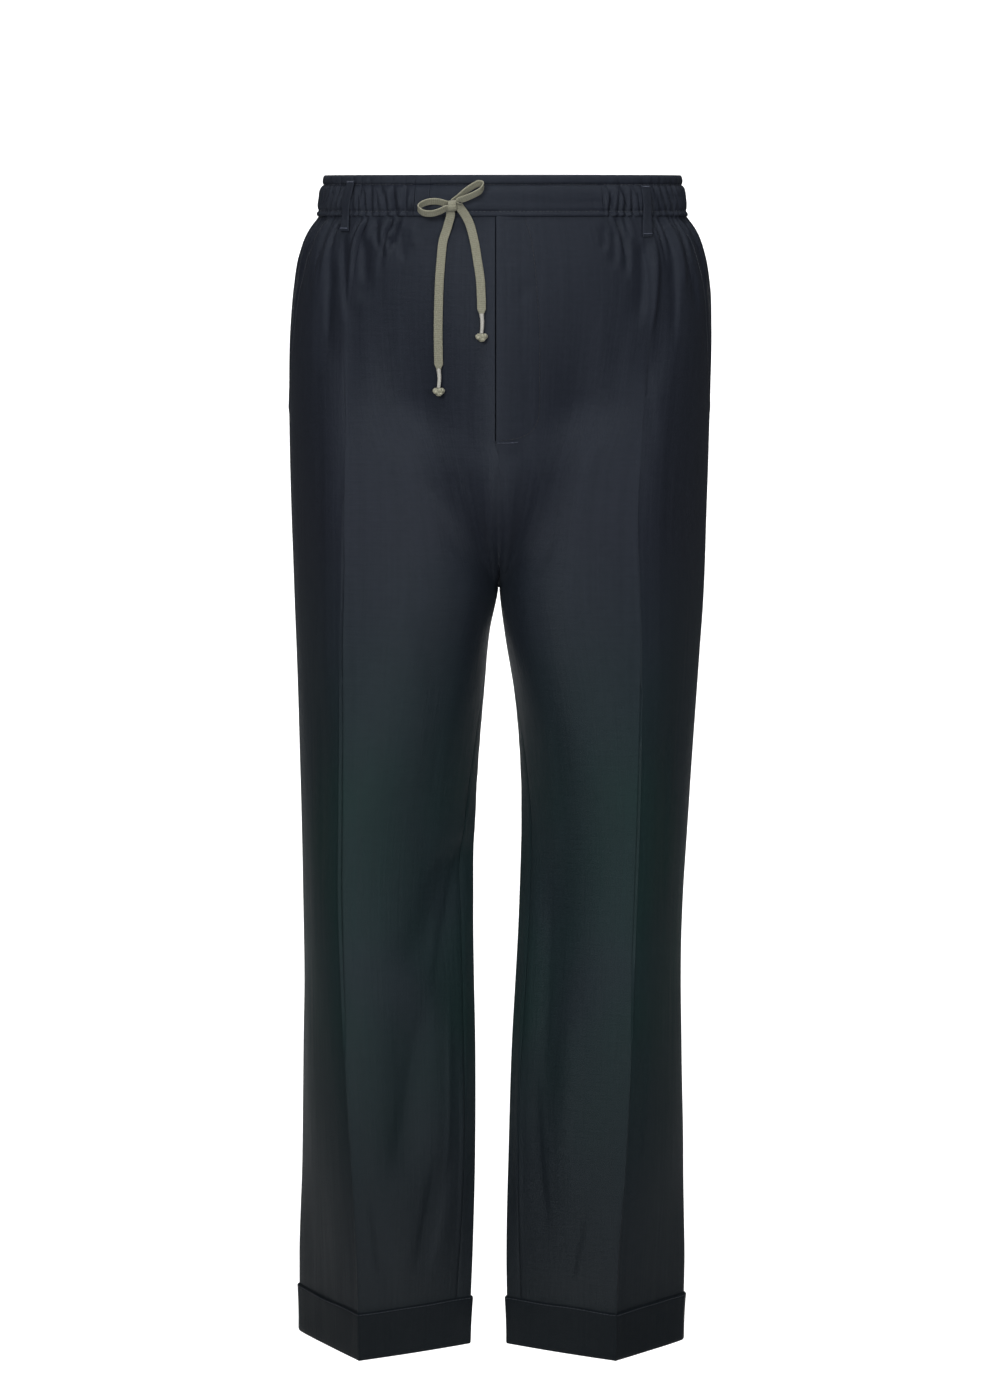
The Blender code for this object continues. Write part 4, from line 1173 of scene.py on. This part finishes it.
panels = {}
allowances = []
leg_rows = ROWS[ROWS > CROTCH + 3.0]
fly_rows = ROWS[(ROWS > FLY_END - 4.0) & (ROWS < CROTCH - 1.0)]
back_rows = ROWS[ROWS < CROTCH - 1.0]
for side in SIDES:
    both = ("front_" + side, "back_" + side)
    allowances.append(make_seam("inseam_edges_" + side, side, inseam_place, leg_rows, both))
    allowances.append(make_seam("side_seam_edges_" + side, side, lambda drop: 0.0, ROWS, both))
allowances.append(make_centre_seam("centre_front_edges", -1.0, fly_rows, ("front_right", "front_left")))
allowances.append(make_centre_seam("centre_back_edges", 1.0, back_rows, ("back_right", "back_left")))
for side in SIDES:
    panels["front_" + side] = make_front(side)
    panels["back_" + side] = make_back(side)
for name, piece in panels.items():
    print(name, len(piece.data.polygons), "faces")

# %% [markdown]
# ## Pocket facings
# Behind each slanted pocket edge lies a facing, the only part of the pocket that shows. It is a strip of
# the same skin, sunk by the thickness of the front panel and carried on a little way under its edge.

# %% Facings
FACING_SINK = 1.15
FACING_UNDER = 7.0
FACING_COLUMNS = 40


def make_facing(side):
    """From the side seam to a little way under the front panel's pocket edge."""
    drop = ROWS[ROWS < POCKET_END - 6.0][:, None]
    end = pocket_place(drop) + FACING_UNDER / MM_A_PLACE
    place = SEAM_PLACE + (end - SEAM_PLACE) * np.linspace(0.0, 1.0, FACING_COLUMNS + 1)[None, :]
    over = place * MM_A_PLACE
    sink = FACING_SINK * smoothstep(over / 4.0 + 0.15)
    points = skin(side, place, drop, relief(side, place, drop) - sink)
    return lay_cloth("facing_cloth_" + side, ["pocket_facing_" + side], points, over, drop, side == "right")


facings = {side: make_facing(side) for side in SIDES}
print("facings:", [piece.name for piece in facings.values()])

# %% [markdown]
# ## The waistband
# The band is one strip of cloth folded over elastic. A row of stitches under its top edge parts off a
# narrow header, and below it the channel swells and puckers. In front it is flat, with a tab that laps over
# from the left. A closed profile, out over the front and back down the inside, is carried round the waist.

# %% Profile and puckers of the band
# Outside of the band from the bottom up: drop, how far it stands off the skin, height of the puckers there
BAND_OUTSIDE = np.array([
    (35.0, 0.5, 0.9), (34.6, 1.1, 0.9), (33.0, 1.45, 0.9), (31.8, 1.1, 0.8), (30.8, 0.5, 0.8),
    (29.8, 1.5, 1.0), (28.0, 2.4, 1.1), (25.5, 3.0, 1.2), (22.0, 3.3, 1.15), (18.0, 3.3, 1.05),
    (14.0, 3.0, 0.9), (11.0, 2.2, 0.7), (9.2, 1.1, 0.5), (8.4, 0.1, 0.4), (7.6, 1.3, 0.3),
    (5.0, 2.0, 0.25), (2.4, 1.9, 0.2), (0.8, 1.35, 0.2), (0.1, 0.55, 0.2),
])
BAND_INSIDE = np.array([
    (0.2, -0.25, 0.2), (1.0, -0.75, 0.2), (8.0, -1.0, 0.2), (20.0, -1.2, 0.3), (31.0, -1.2, 0.3),
    (34.6, -1.1, 0.3), (35.0, -0.5, 0.4),
])
FLAT_RIGHT, TAB_END, FLAT_LEFT = -25.5, -20.3, 30.8
BAND_MM_A_DEGREE = 2.6
BAND_PROFILE_STEPS = 58


def ring_points(degrees, drop, stand):
    """Points of the skin at angles from the centre front, the wearer's right below zero or above 180."""
    degrees = np.where(degrees > 180.0, degrees - 360.0, degrees)
    degrees, drop, stand = np.broadcast_arrays(degrees, drop, stand)
    turn = np.abs(degrees) / 90.0
    place = np.where(turn <= 1.0, 1.0 - turn, np.maximum(3.0 - turn, CENTRE_BACK))
    right = skin("right", place, drop, stand)
    left = skin("left", place, drop, stand)
    points = np.where((degrees < 0)[..., None], right, left)
    middle = (degrees == 0) | (np.abs(degrees) == 180)
    points[..., 0] = np.where(middle, 0.0, points[..., 0])
    return points


print("band:", PANEL_TOP, "mm high")

# %% Puckers
def pinched(s, turn):
    """Uneven round ridges, one to each unit of s, with sharp valleys between them."""
    cell, t = np.floor(s), s - np.floor(s)
    low = (0.3 + uneven(cell, turn)) * (1.0 - t) ** 3 + (0.3 + uneven(cell + 1.0, turn)) * t**3
    return (0.35 + 1.0 * uneven(cell, turn * 1.6)) * np.sin(math.pi * t) - 1.5 * low


def puckers(degrees, drop):
    """Folds that hang from the upper row of stitches meet folds that rise from the lower row, out of step."""
    x = degrees * BAND_MM_A_DEGREE
    lean_up, lean_down = (drop - 8.0) / 42.0, (31.0 - drop) / 36.0
    upper = pinched(x / 12.5 + 0.30 * np.sin(x / 31.0) + lean_up * np.sin(x / 23.0), 2.9)
    lower = pinched(x / 9.4 + 0.35 * np.sin(x / 19.0 + 1.0) + lean_down * np.sin(x / 27.0 + 2.0), 4.3)
    crimps = 0.4 * np.sin(x * 2 * math.pi / 4.1 + 2.0 * np.sin(x / 7.0))
    near_rows = bell(drop - 31.0, 3.5) + 0.6 * bell(drop - 8.4, 2.5)
    hang = ramp(drop, 27.0, 12.0)
    rise = ramp(drop, 9.0, 24.0)
    return 1.35 * upper * hang + 1.6 * lower * rise + crimps * near_rows


print("height of a pucker:", puckers(np.array([90.0]), np.array([20.0])).round(2))

# %% Pieces of the band
def band_piece(name, degrees, gathered, nodes, lift=0.0, flat_folds=0.0):
    """A stretch of band: its closed profile, carried round between the first and the last angle."""
    profile = resample(np.concatenate([BAND_OUTSIDE, BAND_INSIDE]), BAND_PROFILE_STEPS)
    at, drop, stand, pucker = (values[None, :] for values in profile)
    outside = stand > 0.3
    around = degrees[:, None]
    ends = smoothstep((around - degrees[0]) * BAND_MM_A_DEGREE / 5.0)
    ends = ends * smoothstep((degrees[-1] - around) * BAND_MM_A_DEGREE / 5.0)
    height = stand + lift * outside + gathered * ends * pucker * puckers(around, drop)
    droop = np.sin(around * 0.11 + drop * 0.10) * 0.25 - 0.75 * bell(drop - 23.0 - around * 0.03, 3.6)
    height = height + flat_folds * outside * droop * ramp(drop, 9.0, 13.0) * ramp(drop, 31.0, 28.0)
    points = ring_points(around, drop, height)
    uv = together(around * BAND_MM_A_DEGREE, np.append(at, at[0, -1] + 1.0)[None, :])
    piece = tube(name, points[:, ::-1], uv[:, ::-1], twill_painted_light_on_band)
    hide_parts(*nodes)
    return piece


GAP = 0.06
gathered_round = np.linspace(FLAT_LEFT + GAP, 360.0 + FLAT_RIGHT - GAP, 1000)
under_tab_round = np.linspace(FLAT_RIGHT + GAP, TAB_END - GAP, 24)
tab_round = np.linspace(TAB_END + GAP, FLAT_LEFT - GAP, 120)
band = {
    "back": band_piece("band_gathered", gathered_round, 1.0, ["waistband_back"]),
    "under": band_piece("band_under_tab", under_tab_round, 0.0, ["waistband_front_right"], flat_folds=0.7),
    "tab": band_piece("band_tab", tab_round, 0.0, ["waistband_front_left"], lift=0.6, flat_folds=1.0),
}
print("band pieces:", [piece.name for piece in band.values()])

# %% [markdown]
# ## Belt loops
# Five strips of folded cloth cross the band. Each stands clear of the puckers, is tucked under at its top
# and is held below the band by a bar of close stitches. A rounded oblong is carried down the strip.

# %% Loops for a belt
LOOP_WIDTH = 11.0
LOOP_CLOTH = 1.5
LOOP_STAND = np.array([
    (0, 2.2), (5, 2.4), (12, 3.6), (20, 4.5), (29, 4.4), (36, 3.6), (43, 2.8), (50, 1.9), (60, 1.7),
])


def loop_centre(drop):
    """How far the middle line of a belt loop stands off the skin at each drop."""
    return through(LOOP_STAND[:, 0], LOOP_STAND[:, 1], drop)


def loop_angles(x_top, x_bottom, face, top, bottom, drop):
    """The angle from the centre front at which a belt loop's middle line crosses each of the drops."""
    x = x_top + (x_bottom - x_top) * (drop - top) / (bottom - top)
    side = "right" if x_top < 0 else "left"
    places = np.array([place_of(side, face, abs(a), d) for a, d in zip(x.ravel(), drop.ravel())])
    degrees = 90.0 * (1.0 - places if face == "front" else 3.0 - places)
    return degrees.reshape(drop.shape) * SIDES[side]


def make_belt_loop(name, x_top, x_bottom, face, top, bottom):
    """A rounded oblong, with its edges a little thicker than its middle, carried down the loop."""
    drop = np.linspace(top, bottom, 60)[:, None]
    middle = loop_angles(x_top, x_bottom, face, top, bottom, drop)
    x, y = oblong(full_turn(28)[None, :], 0.4, 0.7)
    half = LOOP_WIDTH / 2 / BAND_MM_A_DEGREE
    ends = np.minimum(drop - top, bottom - drop)
    round_end = 0.35 + 0.65 * np.sqrt(np.clip(ends / 1.2, 0.0, 1.0))
    edge = 1.0 + 0.18 * bell(np.abs(x) - 0.8, 0.14) - 0.10 * bell(np.abs(x) - 0.62, 0.08)
    stand = loop_centre(drop) + LOOP_CLOTH / 2 * y * round_end * edge
    stand = stand + 0.25 * np.sin(drop / 7.0 + x_top) * x
    degrees = middle + half * x * (1.0 + 0.02 * np.sin(drop / 9.0))
    points = ring_points(degrees, drop, stand)
    uv = together(np.append(x, x[:, :1], axis=1) * LOOP_WIDTH / 2, drop)
    piece = tube(name.replace("belt_loop", "belt_strip"), points, uv, twill_painted_light_on_band)
    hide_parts(name)
    return piece


loops = [make_belt_loop(*row) for row in BELT_LOOPS]
print("belt loops:", len(loops))

# %% [markdown]
# ## Turn-ups
# Each hem is folded up outside the leg, pressed with the same creases and left open at the top edge. The
# profile runs down the outside, round the fold at the bottom and up again close to the leg.

# %% Turned-up hems
# Drop, and how far it stands off the leg
CUFF_PROFILE = np.array([
    (976.4, 0.5), (976.0, 0.75), (976.2, 1.0), (978.0, 1.1), (984.0, 1.05), (995.0, 0.95), (1006.0, 0.9),
    (1014.0, 0.9), (1018.0, 0.85), (1019.6, 0.7), (1020.0, 0.5), (1019.6, 0.3), (1016.0, 0.2), (1000.0, 0.2),
    (984.0, 0.2), (977.0, 0.28),
])
CUFF_COLUMNS = 280
CUFF_STEPS = 34


def uneven_cuff(side, place, drop, stand):
    """Drops and heights on a turn-up, whose upper edge waves a little and whose outside has slow ripples."""
    outside = ramp(stand, 0.35, 0.75)
    top = np.exp(-((drop - CUFF_TOP) / 7.0))
    wave = np.sin(place * 14.0 + SIDES[side]) + 0.7 * np.sin(place * 23.0 + 2.0)
    stand = stand + outside * (top * 0.2 * (1.2 + wave) + 0.15 * np.sin(place * 31.0 + drop / 9.0))
    drop = drop + 0.35 * top * wave
    return drop, stand + worn_crease(place, drop) + hem_width(place, drop)


def make_cuff(side):
    """The turn-up: a closed profile carried right round the leg."""
    at, drop, stand = resample(CUFF_PROFILE, CUFF_STEPS)
    place = (np.arange(CUFF_COLUMNS) / CUFF_COLUMNS * 2.0)[None, :]
    points = skin(side, place, *uneven_cuff(side, place, drop[:, None], stand[:, None]))
    around = np.append(place[0], 2.0) * MM_A_PLACE
    uv = together(around[None, :], np.append(at, at[-1] + 1.0)[:, None])
    if side == "right":
        points, uv = points[:, ::-1], uv[:, ::-1]
    piece = closed_ring("turn_up_" + side, points, uv + (0.0, 970.0), twill_painted_shade_on_hem)
    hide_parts("cuff_" + side)
    return piece


cuffs = {side: make_cuff(side) for side in SIDES}
print("turn-ups:", [piece.name for piece in cuffs.values()])

# %% [markdown]
# ## Sewing
# A row of lockstitches is a line of short threads that dip into the cloth at both ends. Each is a small
# closed body, and a whole row is one mesh, worked out as an array of stitches by rings by sides.

# %% Rows of stitches
STITCH = 2.6
STITCH_GAP = 0.7
THREAD_RADIUS = 0.26


def stitch_row(name, line, normal, material=thread, stitch=STITCH, gap=STITCH_GAP, radius=THREAD_RADIUS):
    """Stitches along a line of points: each is bowed out of the cloth and thins where it dips in."""
    length = length_along(line)
    starts = np.arange(gap / 2, length[-1] - stitch, stitch + gap)
    along_it = np.linspace(0.0, 1.0, 6)
    at = starts[:, None] + along_it[None, :] * stitch
    middle = together(*(np.interp(at, length, values) for values in line.T))
    out = unit(together(*(np.interp(at, length, values) for values in normal.T)))
    bow = (np.sin(along_it * math.pi) * 1.3 - 0.45) * radius
    thin = 0.45 + 0.55 * np.sin(along_it * math.pi)
    middle = middle + out * bow[None, :, None]
    side_on = np.cross(unit(np.gradient(middle, axis=1)), out)
    turn = full_turn(6)[:, None]
    ring = side_on[:, :, None] * np.cos(turn) + out[:, :, None] * np.sin(turn)
    rings = middle[:, :, None] + radius * thin[:, None, None] * ring
    index = np.arange(rings[..., 0].size).reshape(rings.shape[:3])
    wrap = np.concatenate([index, index[..., :1]], axis=2)
    here, ahead = wrap[:, :-1], wrap[:, 1:]
    quads = together(here[..., :-1], ahead[..., :-1], ahead[..., 1:], here[..., 1:]).reshape(-1, 4)
    caps = index[:, 0].tolist() + index[:, -1, ::-1].tolist()
    uv = np.zeros((len(quads) * 4, 2))
    uv[:, 1] = np.repeat(at[:, :-1], 4 * len(turn))
    return add_piece(name, rings, [(quads, uv)], material, sharp=180.0, caps=caps)


def row_on_skin(name, side, place, drop, height, surface=skin, **how):
    """Stitches along a line of places and drops, laid on the cloth at a height over the skin."""
    points = surface(side, place, drop, height)
    return stitch_row(name, points, surface(side, place, drop, height + 1.0) - points, **how)


def row_on_band(name, degrees, drop, stand, **how):
    """Stitches along the band at one drop."""
    points = ring_points(degrees, drop, stand)
    return stitch_row(name, points, ring_points(degrees, drop, stand + 1.0) - points, **how)


gathered_angles = np.linspace(FLAT_LEFT + 1.0, 359.0 + FLAT_RIGHT, 900)
flat_angles = np.linspace(TAB_END + 0.8, FLAT_LEFT - 0.6, 160)
seams = []
for drop, stand, pucker in ((30.8, 0.75, 0.8), (8.4, 0.35, 0.35)):
    height = stand + pucker * puckers(gathered_angles, drop)
    seams.append(row_on_band(f"band_stitches_{drop:.0f}", gathered_angles, drop, height))
    seams.append(row_on_band(f"tab_stitches_{drop:.0f}", flat_angles, drop, stand + 0.6))
for side in SIDES:
    place = np.linspace(0.0, 2.0, 400)
    drop, height = uneven_cuff(side, place, CUFF_TOP + 2.2, 1.10)
    seams.append(row_on_skin("turn_up_stitches_" + side, side, place, drop, height))
    drop = np.linspace(PANEL_TOP + 4.0, POCKET_END - 8.0, 120)
    place = pocket_place(drop) + POCKET_STITCH / MM_A_PLACE
    seams.append(row_on_skin("pocket_stitches_" + side, side, place, drop, relief(side, place, drop)))
print("rows of stitches:", len(seams))

# %% [markdown]
# The fly is sewn with a row that runs down from the band, beside the centre edge, and curls to it at the
# bottom like the letter J, in a thread painted near black for the shade along its stitch holes. Short bars of
# close, pale stitches hold the belt loops and the foot of the fly.

# %% Fly stitching and bars
place, drop = line_on_front("left", J_LINE, 160)
height = relief("left", place, drop)
seams.append(row_on_skin("fly_stitches", "left", place, drop, height, front_skin, material=fly_thread_painted_shade))


BAR = {"material": tack_thread, "stitch": 0.62, "gap": 0.02, "radius": 0.5}
for name, x_top, x_bottom, face, top, bottom in BELT_LOOPS:
    half = (LOOP_WIDTH / 2 - 0.6) / BAND_MM_A_DEGREE
    for end, drop in (("top", top + 1.6), ("foot", bottom - 2.0)):
        level = np.full(30, drop)
        degrees = loop_angles(x_top, x_bottom, face, top, bottom, level) + np.linspace(-half, half, 30)
        stand = loop_centre(level) + LOOP_CLOTH / 2 * 0.95
        seams.append(row_on_band(f"tack_{end}_{name[10:]}", degrees, level, stand, **BAR))
place, drop = line_on_front("left", np.array([(17.0, 222.0), (8.0, 222.4), (-2.0, 222.6)]), 40)
height = relief("left", place, drop)
seams.append(row_on_skin("tack_fly", "left", place, drop, height, front_skin, **BAR))
print("rows and bars:", len(seams))

# %% [markdown]
# ## How big the cloth was cut
# Each panel was a flat piece before it was sewn. Its flat size here is the cut of what shows: the length
# down the leg, and the widest girth, with the fullness that the gathers take up. Areas and the rows each
# piece carries are worked out, and the areas of the panels and the belt loops are printed.

def flat_area(piece):
    """Half of a closed shell's surface, in square metres: the area of one side of the cloth."""
    return sum(face.area for face in piece.data.polygons) / 2


def sewn(*names):
    """The rows of stitches and the seam edges that have these names."""
    return [piece for piece in allowances + seams if piece.name in names]


LENGTH = 0.985
FRONT_WIDTH, BACK_WIDTH = 0.262, 0.275
for name, piece in panels.items():
    face, side = name.split("_")
    width = FRONT_WIDTH if face == "front" else BACK_WIDTH
    area = min(flat_area(piece) * 1.02, width * LENGTH)
    carried = {
        "front_right": sewn("pocket_stitches_right", "inseam_edges_right", "side_seam_edges_right"),
        "front_left": sewn("pocket_stitches_left", "inseam_edges_left", "side_seam_edges_left",
                           "fly_stitches", "tack_fly", "centre_front_edges"),
        "back_left": sewn("centre_back_edges"),
    }.get(name, [])
    print(name, "area", round(flat_area(piece), 4), "carries", len(carried))
for piece in facings.values():
    area = max(flat_area(piece), 0.0038)
for part, girth in (("back", 0.730), ("under", 0.0135), ("tab", 0.135)):
    rows = {"back": "band_stitches_", "tab": "tab_stitches_"}.get(part, "")
    carried = sewn(rows + "31", rows + "8")
for side, piece in cuffs.items():
    leg = ["front_" + side, "back_" + side]
    carried = sewn("turn_up_stitches_" + side)
for piece in loops:
    place = piece.name.replace("belt_strip_", "")
    carried = sewn("tack_top_" + place, "tack_foot_" + place)
    print(piece.name, "area", round(flat_area(piece) * 1e4, 2), "square cm")
